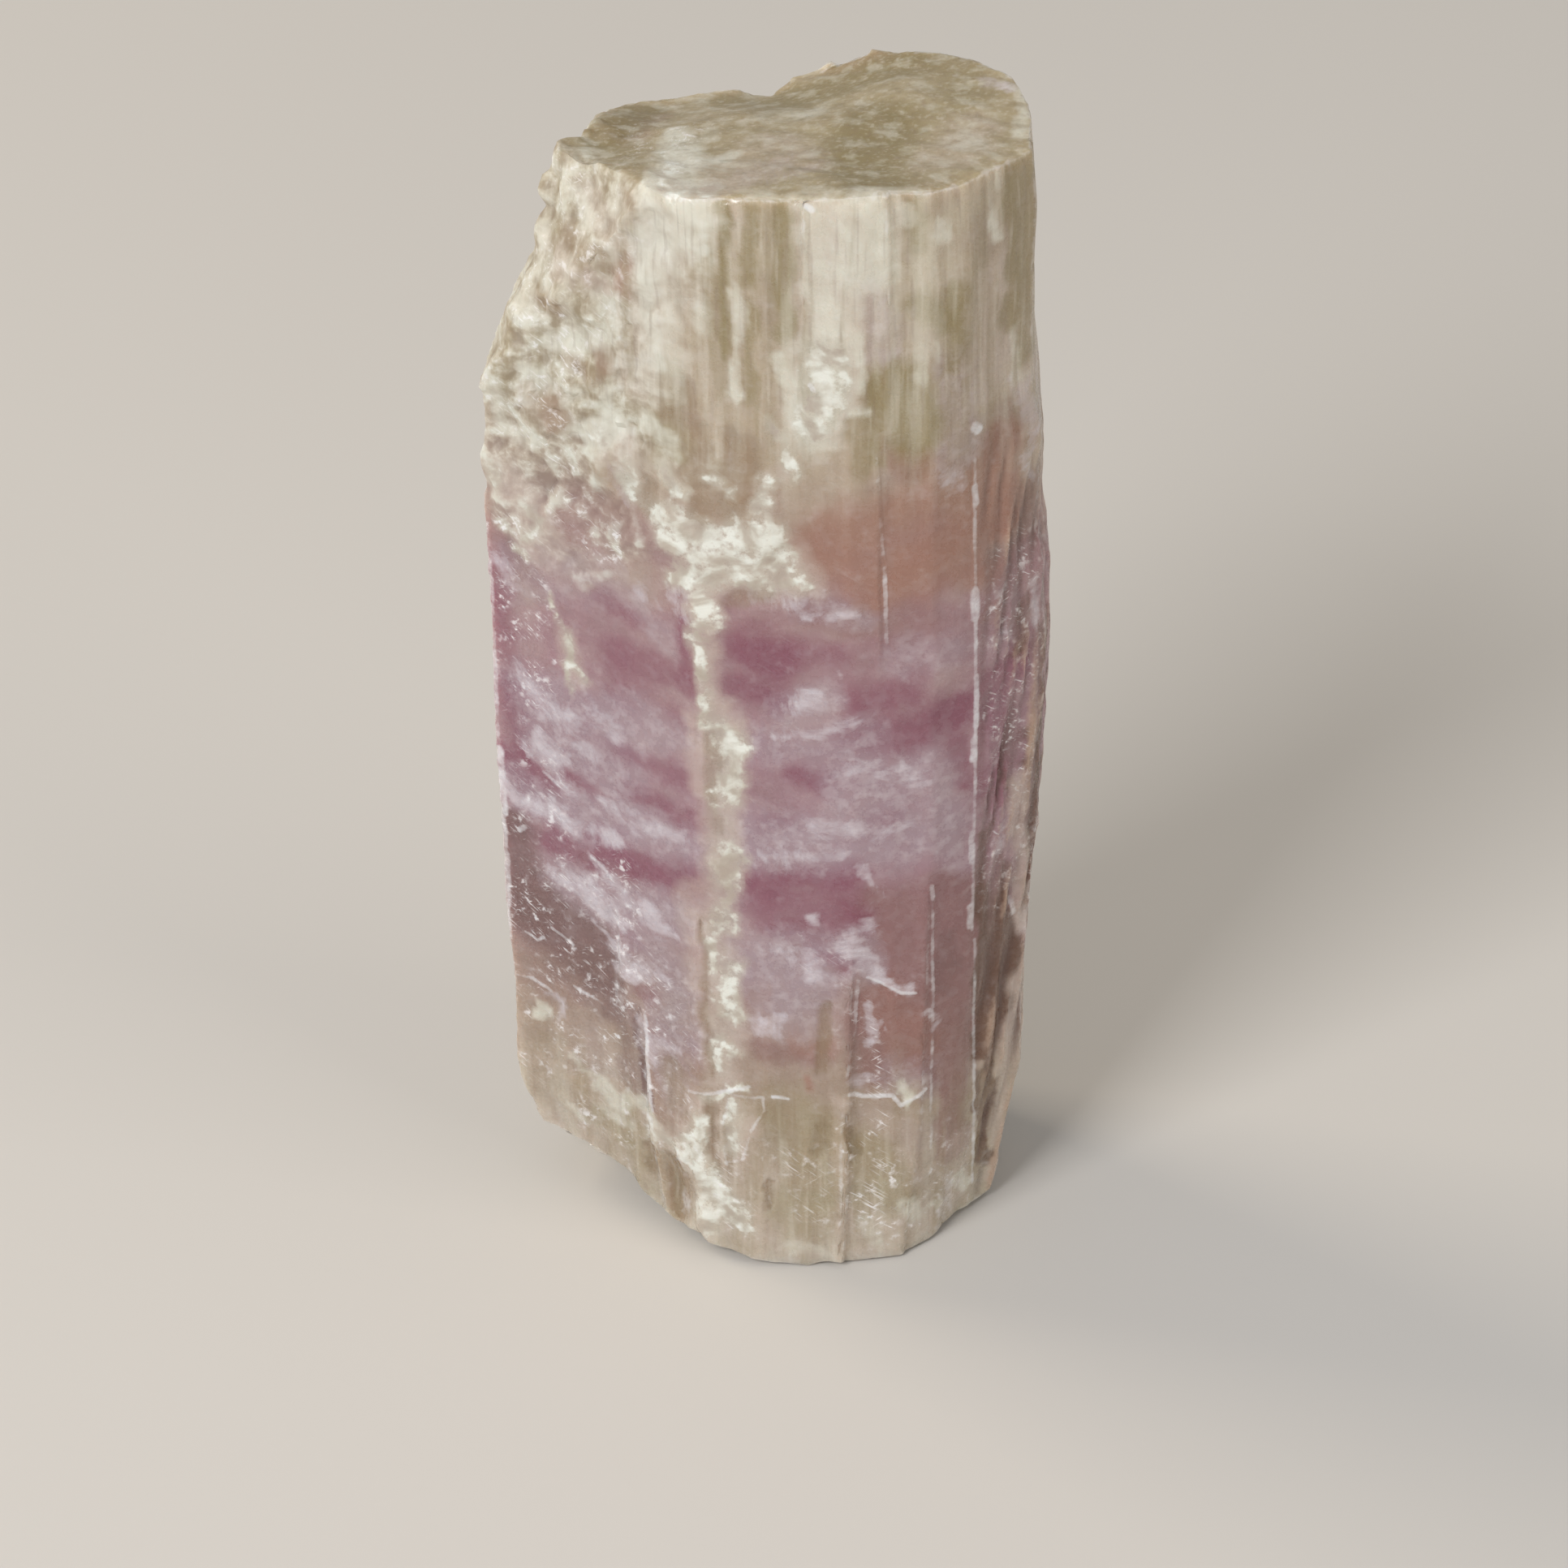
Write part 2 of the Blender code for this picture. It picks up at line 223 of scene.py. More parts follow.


# Where each finish, and each painted highlight and glint, lies on the stone. A stroke is (half width, strength, then
# the points it runs through). Front and back strokes are in x and z, those of the top in x and y, all in mm. A layer
# without back strokes repeats its front ones there, turned round and well astray.
paint = {
    "violet": {
        # deeper rose violet between the veils
        "fade": 1.3,
        "front": [
            (0.6, 0.9, (-8.5, 19.8), (-8.3, 16.6)),
            (0.5, 0.7, (-9.0, 24.6), (-8.5, 21.0)),
            (0.7, 1.0, (-5.6, 15.2), (-4.6, 14.6), (-2.9, 14.9)),
            (0.4, 0.7, (-4.6, 18.8), (-2.9, 18.8)),
            (0.4, 0.8, (-4.6, 17.4), (-2.7, 17.2)),
            (0.3, 0.8, (-5.3, 19.3), (-4.9, 19.0)),
            (0.35, 0.9, (-6.9, 17.1), (-6.1, 16.9)),
            (0.35, 0.7, (-7.9, 17.0), (-7.3, 16.6)),
            (0.6, 0.9, (-7.4, 14.4), (-6.2, 14.3)),
            (0.7, 0.8, (-4.9, 22.4), (-3.2, 22.7)),
            (0.6, 0.6, (-5.0, 21.2), (-3.4, 21.0)),
            (0.3, 0.8, (-2.7, 24.6), (-2.6, 22.0)),
            (0.7, 1.0, (-0.9, 24.2), (0.3, 23.6)),
            (0.6, 0.9, (-0.9, 22.5), (0.2, 22.2)),
            (0.4, 0.6, (-5.4, 24.6), (-4.4, 24.2)),
            (0.5, 0.6, (1.0, 24.1), (2.2, 23.7)),
            (0.7, 0.8, (2.8, 22.2), (4.4, 22.4)),
            (0.7, 0.9, (2.6, 20.9), (4.9, 20.6)),
            (0.55, 1.0, (5.5, 21.4), (5.9, 20.9)),
            (0.35, 1.0, (5.8, 21.5), (6.3, 21.4)),
            (0.4, 0.8, (6.0, 19.9), (6.1, 18.6)),
            (0.45, 0.9, (0.9, 19.3), (1.6, 19.0)),
            (0.25, 0.8, (3.3, 17.8), (3.9, 17.7)),
            (0.3, 0.8, (-0.1, 17.5), (0.4, 17.6)),
            (0.7, 1.0, (-0.4, 15.1), (0.9, 15.2), (2.4, 15.3)),
            (0.8, 0.8, (-0.2, 13.9), (2.2, 13.6)),
            (0.45, 0.8, (1.5, 12.5), (2.6, 11.9)),
            (0.4, 0.7, (2.2, 14.2), (2.7, 13.4)),
            (0.3, 0.6, (-4.9, 11.8), (-4.5, 11.4)),
            (0.3, 0.6, (-4.6, 9.7), (-4.2, 9.5)),
            (0.35, 0.8, (8.2, 23.1), (8.0, 21.6)),
            (0.4, 0.9, (7.8, 18.2), (7.4, 17.0)),
            (0.6, 0.8, (7.2, 22.0), (7.2, 18.0)),
        ],
    },
    "rose": {
        # brownish pink panels right of the seam, below the veils
        "fade": 0.9,
        "front": [
            (1.2, 1.0, (3.4, 13.8), (5.4, 14.0)),
            (1.2, 1.0, (4.0, 12.2), (5.2, 8.4)),
            (0.7, 0.9, (3.2, 10.2), (3.2, 7.6)),
            (0.9, 1.0, (5.9, 14.2), (5.9, 7.0)),
            (0.5, 0.8, (5.9, 6.6), (5.9, 3.4)),
            (0.5, 0.7, (-0.6, 8.6), (1.6, 8.6)),
            (0.9, 0.6, (1.6, 25.4), (4.6, 24.8)),
            (0.8, 0.5, (-6.0, 27.8), (-4.0, 28.0)),
            (0.9, 0.5, (-3.4, 8.0), (-3.6, 4.6)),
            (0.9, 0.4, (-8.4, 12.0), (-7.4, 8.4)),
        ],
    },
    "umber": {
        # dark brown glass of the right face
        "fade": 0.8,
        "front": [
            (0.35, 1.0, (6.95, 13.8), (7.0, 11.0), (6.95, 7.0)),
            (0.28, 0.6, (-3.75, 2.6), (-3.6, 1.4)),
            (0.45, 1.0, (7.4, 12.6), (7.5, 10.0), (7.3, 7.0)),
            (0.14, 0.9, (7.35, 7.4), (7.2, 4.4), (7.1, 1.6)),
            (0.12, 0.8, (6.85, 6.0), (6.9, 2.0)),
            (0.16, 0.7, (7.1, 16.2), (7.0, 15.2), (6.95, 13.8)),
            (0.22, 0.5, (7.8, 18.2), (7.9, 16.9)),
            (0.26, 0.6, (7.5, 15.0), (7.6, 13.6), (7.6, 12.0)),
            (0.20, 0.7, (8.15, 24.2), (8.05, 22.4)),
            (0.18, 0.7, (7.95, 12.0), (7.95, 8.0)),
            (0.35, 1.0, (8.70, 19.0), (8.72, 15.0), (8.70, 11.6)),
            (0.30, 0.8, (8.80, 23.0), (8.8, 19.0)),
        ],
        "back": [(0.5, 0.5, (2.6, 12.0), (2.9, 8.4)), (0.3, 0.5, (-4.2, 23.0), (-4.4, 20.6))],
    },
    "cream": {
        # pale beige ground under the crust
        "fade": 1.1,
        "front": [
            (0.8, 0.9, (-3.1, 27.9), (-1.0, 27.5), (0.6, 27.3)),
            (0.6, 0.8, (-2.4, 26.5), (1.2, 26.4)),
            (0.4, 0.6, (-0.3, 29.8), (0.3, 30.4)),
            (0.7, 0.7, (-4.8, 30.6), (-4.4, 29.0)),
            (0.45, 0.9, (-1.9, 26.0), (-2.0, 24.2), (-1.9, 22.6), (-1.8, 21.0)),
            (0.72, 1.0, (-1.5, 21.2), (-1.5, 19.4), (-1.65, 17.4), (-1.6, 15.6)),
            (0.60, 0.85, (-1.7, 15.4), (-2.0, 13.6), (-1.8, 11.0), (-1.8, 7.4)),
            (0.35, 0.7, (-2.5, 21.0), (-2.4, 18.6)),
            (0.40, 0.6, (-2.6, 14.6), (-2.8, 13.0), (-2.6, 11.0)),
            (0.7, 0.8, (-2.6, 6.2), (-2.6, 1.4)),
            (0.7, 0.8, (-1.6, 6.0), (-1.4, 1.4)),
            (0.5, 0.8, (-4.1, 4.4), (-3.4, 3.8)),
            (0.35, 0.8, (-6.7, 22.8), (-6.4, 21.2)),
            (0.7, 0.7, (-8.4, 28.0), (-7.4, 26.6), (-7.4, 25.6)),
            (0.9, 0.3, (-7.8, 4.4), (-6.0, 3.4)),
            (1.2, 0.7, (-0.2, 1.0), (4.8, 0.8)),
            (0.9, 0.6, (-5.6, 1.8), (-8.0, 2.8)),
            (0.30, 0.8, (2.1, 6.6), (2.1, 1.6)),
            (0.6, 0.4, (4.4, 4.2), (4.7, 1.6)),
            (0.5, 0.6, (6.0, 3.6), (6.2, 1.0)),
            (0.30, 0.9, (-0.9, 6.2), (-1.3, 4.6)),
            (1.0, 0.6, (-3.4, 38.6), (-3.6, 33.0)),
            (1.1, 0.8, (2.2, 39.6), (2.3, 36.0), (1.8, 32.4)),
            (0.5, 0.7, (-6.6, 36.2), (-5.4, 36.1)),
            (0.6, 0.6, (-5.4, 38.4), (-4.6, 37.8)),
            (0.5, 0.6, (-7.4, 31.2), (-6.6, 30.6)),
            (0.22, 0.9, (8.30, 17.2), (8.28, 14.0), (8.35, 11.4)),
            (0.35, 0.8, (8.35, 10.0), (8.25, 6.0), (7.9, 2.4)),
            (0.30, 0.7, (7.7, 6.0), (7.6, 1.0)),
            (0.25, 0.8, (7.9, 17.6), (8.0, 15.4)),
            (0.30, 0.8, (8.15, 32.2), (8.2, 30.6)),
            (0.5, 0.7, (7.2, 36.6), (7.3, 32.4)),
        ],
        "top": [(0.8, 0.7, (-2.2, -4.6), (-1.2, -4.2)), (1.2, 0.5, (-1.0, -3.0), (0.6, -1.0)), (0.9, 0.5, (5.6, -2.8), (6.6, -0.4))],
    },
    "salmon": {
        "fade": 1.2,
        "front": [
            (1.2, 0.9, (2.2, 28.2), (4.4, 28.8), (6.2, 28.9)),
            (0.8, 0.8, (1.3, 27.6), (3.4, 26.6)),
            (0.8, 1.0, (4.6, 27.2), (6.2, 27.6)),
            (0.7, 0.8, (4.0, 26.2), (6.4, 26.2)),
            (0.7, 1.0, (7.4, 30.6), (7.5, 27.6)),
            (0.65, 0.9, (4.2, 31.1), (5.1, 30.4)),
            (0.4, 0.7, (7.4, 26.0), (7.2, 24.6)),
            (1.0, 0.5, (3.6, 10.2), (4.6, 8.4)),
            (0.5, 0.5, (0.8, 9.0), (1.8, 8.9)),
            (0.20, 0.9, (1.2, 7.5), (1.2, 7.2)),
            (0.25, 0.7, (-4.6, 36.9), (-4.5, 35.9)),
            (0.35, 0.6, (-5.3, 33.8), (-5.0, 33.2)),
            (0.35, 0.5, (-5.6, 36.2), (-5.1, 36.0)),
            (0.30, 0.6, (-7.0, 31.1), (-6.7, 30.4)),
        ],
        "top": [(0.9, 0.5, (-4.8, 1.3), (-4.2, 1.0)), (0.8, 0.4, (2.6, 5.6), (3.6, 5.8))],
    },
    "clear": {
        # dark and glassy, where the eye looks into the stone
        "fade": 1.0,
        "front": [
            (0.9, 0.9, (-8.8, 14.4), (-8.5, 12.6), (-7.9, 10.6)),
            (0.9, 0.9, (-7.5, 11.6), (-6.4, 10.8), (-6.1, 9.8)),
            (0.45, 0.9, (-6.3, 11.7), (-5.6, 10.6), (-5.5, 9.6)),
            (0.8, 0.45, (-7.0, 9.4), (-5.8, 8.4)),
            (0.40, 0.55, (-4.9, 8.6), (-4.8, 5.6)),
            (0.10, 1.0, (-4.45, 8.8), (-4.4, 5.0)),
            (0.25, 0.6, (-5.6, 9.6), (-5.5, 8.0)),
            (0.5, 0.3, (-8.3, 25.4), (-7.7, 24.0)),
            (0.6, 0.4, (7.3, 26.4), (7.6, 23.8)),
            (0.30, 0.5, (5.7, 12.4), (5.8, 10.6)),
        ],
        "top": [(0.7, 0.5, (-4.6, 1.4), (-3.8, 3.0)), (0.45, 0.8, (-3.0, -4.5), (-2.5, -4.3))],
    },
    "tan": {
        # honey-coloured channels and stains
        "fade": 0.9,
        "front": [
            (0.50, 1.0, (-3.7, 2.7), (-3.5, 1.2)),
            (0.20, 0.9, (-4.2, 3.2), (-4.1, 2.0)),
            (0.25, 0.6, (-1.95, 20.4), (-1.9, 17.0)),
            (0.14, 0.6, (-2.35, 13.6), (-2.3, 9.8), (-2.25, 7.4)),
            (0.20, 0.9, (-2.2, 6.4), (-2.1, 5.8), (-2.05, 3.0)),
            (0.15, 0.7, (-0.4, 3.2), (-0.2, 2.2)),
            (0.22, 0.8, (1.4, 5.6), (1.3, 4.6)),
            (0.25, 0.8, (2.5, 5.3), (2.7, 4.4)),
            (0.4, 0.8, (-2.5, 33.2), (-2.4, 31.0), (-2.2, 28.4)),
            (0.7, 0.9, (-0.9, 31.2), (-1.2, 29.2)),
            (0.3, 0.7, (-3.9, 29.4), (-3.9, 28.4)),
            (0.25, 0.6, (-0.2, 26.0), (-1.2, 25.6)),
            (0.3, 0.8, (-5.0, 33.6), (-5.1, 32.9)),
            (0.40, 0.8, (-6.8, 34.8), (-6.4, 34.5)),
            (0.35, 0.8, (-6.2, 32.9), (-5.5, 32.5)),
            (0.4, 0.7, (-7.0, 31.4), (-6.6, 30.4)),
            (0.45, 0.7, (-6.0, 37.0), (-5.0, 36.9)),
            (0.30, 0.6, (-5.3, 29.4), (-4.6, 28.8)),
            (0.20, 0.7, (-2.7, 38.4), (-2.7, 36.0)),
            (0.30, 0.6, (-4.2, 39.2), (-3.8, 37.4)),
            (0.25, 0.7, (1.6, 10.2), (1.7, 8.0)),
            (0.55, 0.6, (4.3, 31.2), (5.0, 30.4)),
            (0.35, 0.6, (-3.4, 6.9), (-3.2, 5.6)),
            (0.14, 0.6, (7.0, 6.0), (6.95, 2.0)),
        ],
        "top": [
            (0.30, 0.9, (-4.9, 1.4), (-4.3, 1.2)),
            (0.8, 0.8, (-4.4, 2.4), (-3.5, 3.2)),
            (0.30, 0.6, (-4.0, 3.9), (-3.8, 4.2)),
            (0.25, 0.6, (-2.7, -4.5), (-2.5, -4.4)),
        ],
    },
    "olive": {
        "fade": 1.1,
        "front": [
            (0.20, 1.0, (-1.25, 39.9), (-1.3, 34.4)),
            (0.24, 0.8, (-0.35, 39.6), (-0.4, 37.0)),
            (0.20, 0.7, (-0.4, 36.4), (-0.45, 33.0)),
            (0.30, 0.9, (0.6, 39.7), (0.6, 35.4)),
            (0.25, 0.8, (4.6, 39.8), (4.7, 38.2)),
            (0.55, 0.9, (4.9, 36.2), (5.7, 35.6)),
            (1.0, 1.0, (3.9, 33.4), (4.8, 32.0)),
            (0.3, 0.7, (3.3, 33.6), (3.4, 31.0)),
            (0.3, 0.6, (2.8, 32.4), (2.9, 30.6)),
            (0.35, 0.8, (6.0, 36.6), (6.0, 33.8)),
            (0.20, 0.8, (7.8, 39.8), (7.8, 34.2)),
            (0.30, 0.7, (8.2, 39.8), (8.3, 33.0)),
            (0.5, 0.5, (-3.0, 33.6), (-3.0, 31.0)),
            (1.2, 0.5, (0.0, 6.4), (1.4, 5.2), (1.0, 2.0)),
            (0.7, 0.5, (3.2, 4.6), (4.2, 2.4)),
            (0.5, 0.4, (-6.2, 3.6), (-4.6, 2.4)),
        ],
        "top": [
            (1.3, 1.0, (3.4, -5.2), (3.2, -2.0), (3.8, 0.4)),
            (1.4, 0.9, (1.4, 4.0), (4.6, 4.6)),
            (0.9, 0.7, (-1.0, 4.2), (0.4, 3.0)),
            (0.9, 0.6, (6.4, 1.6), (6.6, 3.6)),
            (0.9, 1.0, (-5.2, 0.8), (-4.0, 3.8)),
            (0.8, 0.6, (-4.6, -2.0), (-4.4, 0.0)),
        ],
    },
    "haze": {
        # broad pale clouds inside the stone
        "fade": 1.3,
        "front": [
            (1.0, 0.9, (-7.8, 20.0), (-6.0, 19.8), (-4.4, 20.2)),
            (0.7, 0.9, (-7.7, 18.3), (-6.0, 18.0), (-4.8, 17.9)),
            (0.8, 1.0, (-8.6, 16.0), (-7.0, 15.6), (-5.0, 16.2), (-2.8, 16.1)),
            (0.9, 1.0, (-6.8, 12.9), (-5.4, 12.6), (-3.2, 13.1)),
            (0.9, 0.9, (-4.6, 11.2), (-3.4, 10.6), (-3.2, 8.6)),
            (0.6, 0.7, (-3.8, 8.0), (-3.2, 6.0)),
            (0.5, 0.5, (-3.9, 19.9), (-2.8, 20.4)),
            (0.5, 0.6, (-4.0, 24.8), (-3.4, 23.8)),
            (1.0, 0.5, (-8.0, 24.6), (-5.6, 25.2)),
            (1.1, 1.0, (-0.4, 16.8), (2.4, 16.7), (5.6, 17.0)),
            (1.0, 0.9, (2.4, 19.4), (4.9, 19.2)),
            (0.7, 0.8, (-0.4, 20.3), (2.9, 20.9)),
            (0.6, 0.8, (0.5, 21.9), (1.6, 22.3)),
            (0.6, 0.7, (2.4, 18.2), (5.2, 18.4)),
            (1.0, 1.0, (-0.6, 11.8), (1.2, 11.4), (0.6, 10.4)),
            (0.6, 0.8, (0.2, 13.0), (2.4, 12.6)),
            (0.5, 0.9, (2.6, 12.9), (3.3, 11.7)),
            (0.7, 0.6, (4.4, 23.8), (6.0, 23.4)),
            (0.5, 0.6, (5.6, 16.2), (6.4, 15.4)),
            (0.5, 0.6, (1.0, 25.4), (3.0, 25.4)),
            (0.6, 0.7, (5.9, 33.8), (6.2, 30.4)),
            (0.5, 0.6, (3.4, 37.0), (3.8, 34.6)),
            (0.5, 0.4, (7.4, 25.0), (7.7, 23.2)),
            (0.35, 0.3, (7.2, 23.4), (7.2, 18.0)),
            (0.7, 0.5, (3.8, 7.4), (4.8, 7.2)),
        ],
        "top": [(0.9, 0.4, (0.0, -3.4), (1.4, -2.4))],
    },
    "veil": {
        # the white cores and feathers of those clouds
        "fade": 1.3,
        "front": [
            (0.35, 0.9, (-8.0, 20.4), (-7.4, 19.6), (-6.6, 19.4)),
            (0.30, 0.7, (-5.9, 20.0), (-5.2, 19.7)),
            (0.35, 1.0, (-7.5, 18.4), (-7.0, 17.8)),
            (0.30, 0.8, (-6.6, 18.8), (-5.8, 18.3)),
            (0.30, 0.7, (-8.0, 17.8), (-7.2, 17.2), (-6.8, 16.6)),
            (0.30, 1.0, (-9.1, 16.2), (-8.4, 15.7), (-7.6, 15.5)),
            (0.25, 1.0, (-7.4, 15.9), (-6.6, 15.3), (-5.9, 15.7), (-5.2, 15.4)),
            (0.30, 0.7, (-5.4, 16.8), (-4.4, 16.2), (-3.2, 16.4)),
            (0.30, 1.0, (-7.3, 13.2), (-6.4, 12.8), (-5.6, 12.3), (-5.0, 12.0)),
            (0.22, 0.8, (-6.3, 13.5), (-5.2, 12.7)),
            (0.20, 0.8, (-6.0, 14.4), (-5.4, 13.7), (-5.0, 13.0)),
            (0.35, 1.0, (-4.3, 13.0), (-3.7, 12.6)),
            (0.35, 1.0, (-5.2, 10.9), (-4.9, 10.3)),
            (0.12, 1.0, (-6.1, 11.8), (-5.6, 11.3), (-5.2, 10.8)),
            (0.30, 0.7, (-4.6, 10.4), (-3.6, 10.3)),
            (0.25, 0.8, (-4.2, 8.5), (-4.1, 7.0)),
            (0.20, 0.8, (-3.8, 8.0), (-3.3, 7.6)),
            (0.10, 0.9, (-7.7, 8.1), (-7.3, 7.7), (-7.5, 7.2)),
            (0.30, 0.6, (-3.9, 25.5), (-3.5, 25.2)),
            (0.30, 0.8, (-8.7, 24.7), (-8.6, 24.2)),
            (0.30, 1.0, (0.9, 22.0), (1.3, 22.3)),
            (0.22, 1.0, (1.9, 25.2), (2.3, 25.4)),
            (0.12, 0.9, (2.3, 25.4), (2.8, 25.7)),
            (0.14, 0.8, (1.2, 25.1), (1.5, 25.3)),
            (0.10, 0.9, (2.9, 24.4), (3.1, 24.4)),
            (0.10, 0.8, (2.1, 23.1), (2.3, 23.1)),
            (0.16, 0.6, (0.6, 25.9), (1.8, 26.0)),
            (0.30, 0.7, (-0.5, 25.9), (0.8, 25.6)),
            (0.30, 0.6, (-2.8, 25.8), (-2.6, 24.8)),
            (0.20, 0.6, (0.2, 20.6), (2.6, 21.2)),
            (0.30, 0.55, (2.6, 19.7), (3.6, 19.4)),
            (0.35, 0.6, (4.2, 19.3), (4.8, 18.9)),
            (0.30, 0.6, (1.6, 17.5), (3.0, 17.2), (4.4, 17.4)),
            (0.30, 0.6, (-0.2, 16.3), (2.2, 16.4)),
            (0.16, 0.8, (2.9, 15.6), (3.1, 15.1)),
            (0.12, 0.9, (3.1, 15.1), (3.4, 14.8)),
            (0.18, 0.6, (2.8, 13.6), (3.1, 13.4)),
            (0.12, 0.9, (1.3, 14.0), (1.4, 13.7)),
            (0.30, 0.8, (0.2, 12.6), (1.2, 12.2), (1.4, 11.6)),
            (0.25, 1.0, (2.4, 13.0), (3.0, 12.2), (3.3, 11.5)),
            (0.16, 1.0, (3.3, 11.3), (3.9, 10.95), (4.6, 10.7)),
            (0.28, 0.8, (2.0, 11.3), (2.7, 11.6)),
            (0.35, 1.0, (-0.7, 9.6), (-0.2, 9.7)),
            (0.20, 0.8, (0.1, 10.0), (0.3, 9.8)),
            (0.12, 1.0, (3.1, 9.9), (3.2, 9.4), (3.0, 8.9)),
            (0.10, 1.0, (3.4, 9.5), (3.5, 9.3)),
            (0.16, 0.8, (2.6, 7.4), (3.2, 7.2)),
            (0.20, 0.8, (5.0, 9.6), (5.3, 9.2)),
            (0.06, 0.6, (4.0, 24.25), (5.1, 24.3)),
            (0.20, 0.7, (5.8, 30.0), (6.3, 29.6)),
            (0.30, 0.8, (-4.9, 29.3), (-4.6, 28.6)),
            (0.30, 0.8, (8.2, 31.8), (8.4, 30.4)),
            (0.22, 1.0, (8.65, 24.6), (8.6, 23.2)),
            (0.14, 1.0, (8.40, 11.7), (8.38, 10.4)),
            (0.12, 0.7, (8.3, 31.0), (8.5, 28.0)),
            (0.10, 0.7, (7.9, 32.4), (8.2, 31.0)),
            (0.14, 0.6, (7.5, 25.0), (7.6, 23.4)),
            (0.20, 0.6, (7.6, 16.4), (7.5, 15.0)),
        ],
        "top": [(0.3, 0.8, (7.2, 2.4), (7.9, 2.0))],
    },
    "pale": {
        # frosty, grey-white streaks and patches in the upper half, with one painted glint
        "fade": 1.0,
        "front": [
            (0.8, 0.9, (2.7, 39.9), (3.1, 37.6)),
            (0.5, 0.9, (3.5, 39.8), (3.6, 37.4)),
            (0.45, 0.8, (1.5, 39.6), (1.6, 37.4), (2.0, 35.6)),
            (0.5, 0.6, (2.6, 37.4), (2.6, 35.4)),
            (0.85, 1.0, (1.8, 34.9), (1.7, 33.4), (1.6, 32.0)),
            (0.35, 0.9, (1.0, 33.6), (1.2, 32.2)),
            (0.20, 0.9, (3.0, 35.2), (2.9, 33.4)),
            # a painted glint
            (0.20, 1.0, (2.8, 32.7), (3.1, 32.5)),
            (0.18, 0.8, (0.5, 34.6), (0.4, 33.6)),
            (0.25, 0.8, (0.1, 32.2), (0.4, 31.8)),
            (0.25, 0.8, (4.3, 39.8), (4.4, 39.2)),
            (0.20, 0.7, (5.3, 39.0), (5.4, 38.4)),
            (0.25, 0.6, (4.8, 34.8), (4.8, 33.6)),
            (0.18, 0.8, (5.3, 34.8), (5.4, 34.2)),
            (0.17, 0.9, (7.2, 38.6), (7.25, 37.4)),
            (0.16, 0.8, (7.2, 39.9), (7.4, 39.4)),
            (0.22, 0.7, (7.9, 34.0), (8.1, 32.2)),
            (0.60, 0.9, (-3.2, 39.9), (-1.9, 39.4)),
            (0.45, 0.8, (-3.4, 39.2), (-3.2, 38.2)),
            (0.28, 1.0, (-2.5, 38.7), (-2.5, 38.3)),
            (0.30, 0.8, (-3.7, 37.8), (-3.6, 35.4)),
            (0.8, 0.5, (-3.0, 39.4), (-3.3, 33.0)),
            (0.25, 0.7, (-3.3, 34.8), (-3.4, 33.6)),
            (0.18, 0.9, (-0.95, 33.9), (-0.85, 33.2)),
            (0.25, 0.7, (-1.9, 36.2), (-1.9, 35.4)),
            (0.22, 0.8, (-0.9, 37.0), (-0.75, 36.0), (-0.85, 35.2)),
            (0.12, 0.7, (-0.95, 35.0), (-0.9, 33.6)),
            (0.40, 0.6, (-4.4, 38.8), (-4.0, 37.6)),
            (0.35, 0.8, (-3.6, 31.6), (-3.2, 31.2)),
            (0.30, 0.7, (-3.2, 30.2), (-3.0, 29.6)),
            (0.35, 0.9, (-6.6, 33.4), (-6.0, 33.6), (-5.2, 34.1)),
            (0.30, 0.7, (-7.9, 34.2), (-7.0, 34.0)),
            (0.30, 0.9, (-7.8, 32.2), (-7.2, 31.7)),
            (0.28, 0.7, (-6.6, 31.3), (-6.0, 31.8)),
            (0.38, 1.0, (-5.8, 30.1), (-5.3, 30.6), (-4.9, 31.3)),
            (0.22, 0.9, (-5.0, 31.2), (-4.8, 32.2)),
            (0.30, 0.8, (-8.9, 31.2), (-8.6, 30.2)),
            (0.35, 0.7, (-8.6, 29.8), (-7.6, 29.4)),
            (0.22, 0.8, (-4.8, 29.6), (-4.5, 28.8)),
            (0.35, 0.7, (-7.2, 37.0), (-6.9, 36.0)),
            (0.30, 0.6, (-6.2, 38.4), (-5.6, 37.9)),
            (0.25, 0.6, (-7.3, 35.6), (-6.8, 35.2)),
            (0.20, 1.0, (-8.0, 7.5), (-8.1, 6.9)),
            (0.35, 0.9, (-6.0, 4.8), (-5.4, 4.4), (-5.0, 4.9)),
            (0.25, 0.7, (-5.8, 3.9), (-5.0, 3.7)),
            (0.22, 0.9, (-4.5, 5.0), (-4.0, 4.5)),
            (0.16, 0.8, (-6.9, 5.6), (-6.4, 5.2)),
            (0.20, 0.8, (-7.0, 3.6), (-6.6, 3.0)),
            (0.22, 1.0, (4.1, 6.8), (4.4, 6.4)),
            (0.25, 0.9, (4.4, 2.2), (4.6, 1.4)),
            (0.14, 0.9, (5.2, 1.6), (5.7, 1.3)),
            (0.20, 0.9, (6.2, 1.9), (6.6, 1.2)),
            (0.30, 0.6, (2.9, 1.8), (3.2, 1.0)),
            (0.30, 0.6, (0.6, 0.8), (1.6, 0.6)),
        ],
        "top": [
            (0.70, 1.0, (-2.9, -4.6), (-2.8, -3.2)),
            (0.85, 1.0, (-2.7, -3.6), (-2.5, -1.4)),
            (0.45, 0.9, (-2.8, -1.0), (-2.7, 0.6)),
            (0.35, 0.9, (-1.3, -2.0), (-0.9, -1.4)),
            (0.30, 0.6, (-2.0, -0.8), (-1.6, 0.4)),
            (0.6, 0.5, (0.2, 1.7), (1.4, 1.7)),
            (0.4, 0.6, (0.0, -5.5), (4.8, -5.5)),
            (0.25, 0.8, (8.2, -1.0), (8.3, 2.2)),
            (0.35, 0.5, (6.2, -2.0), (6.6, -1.4)),
        ],
    },
    "sugar": {
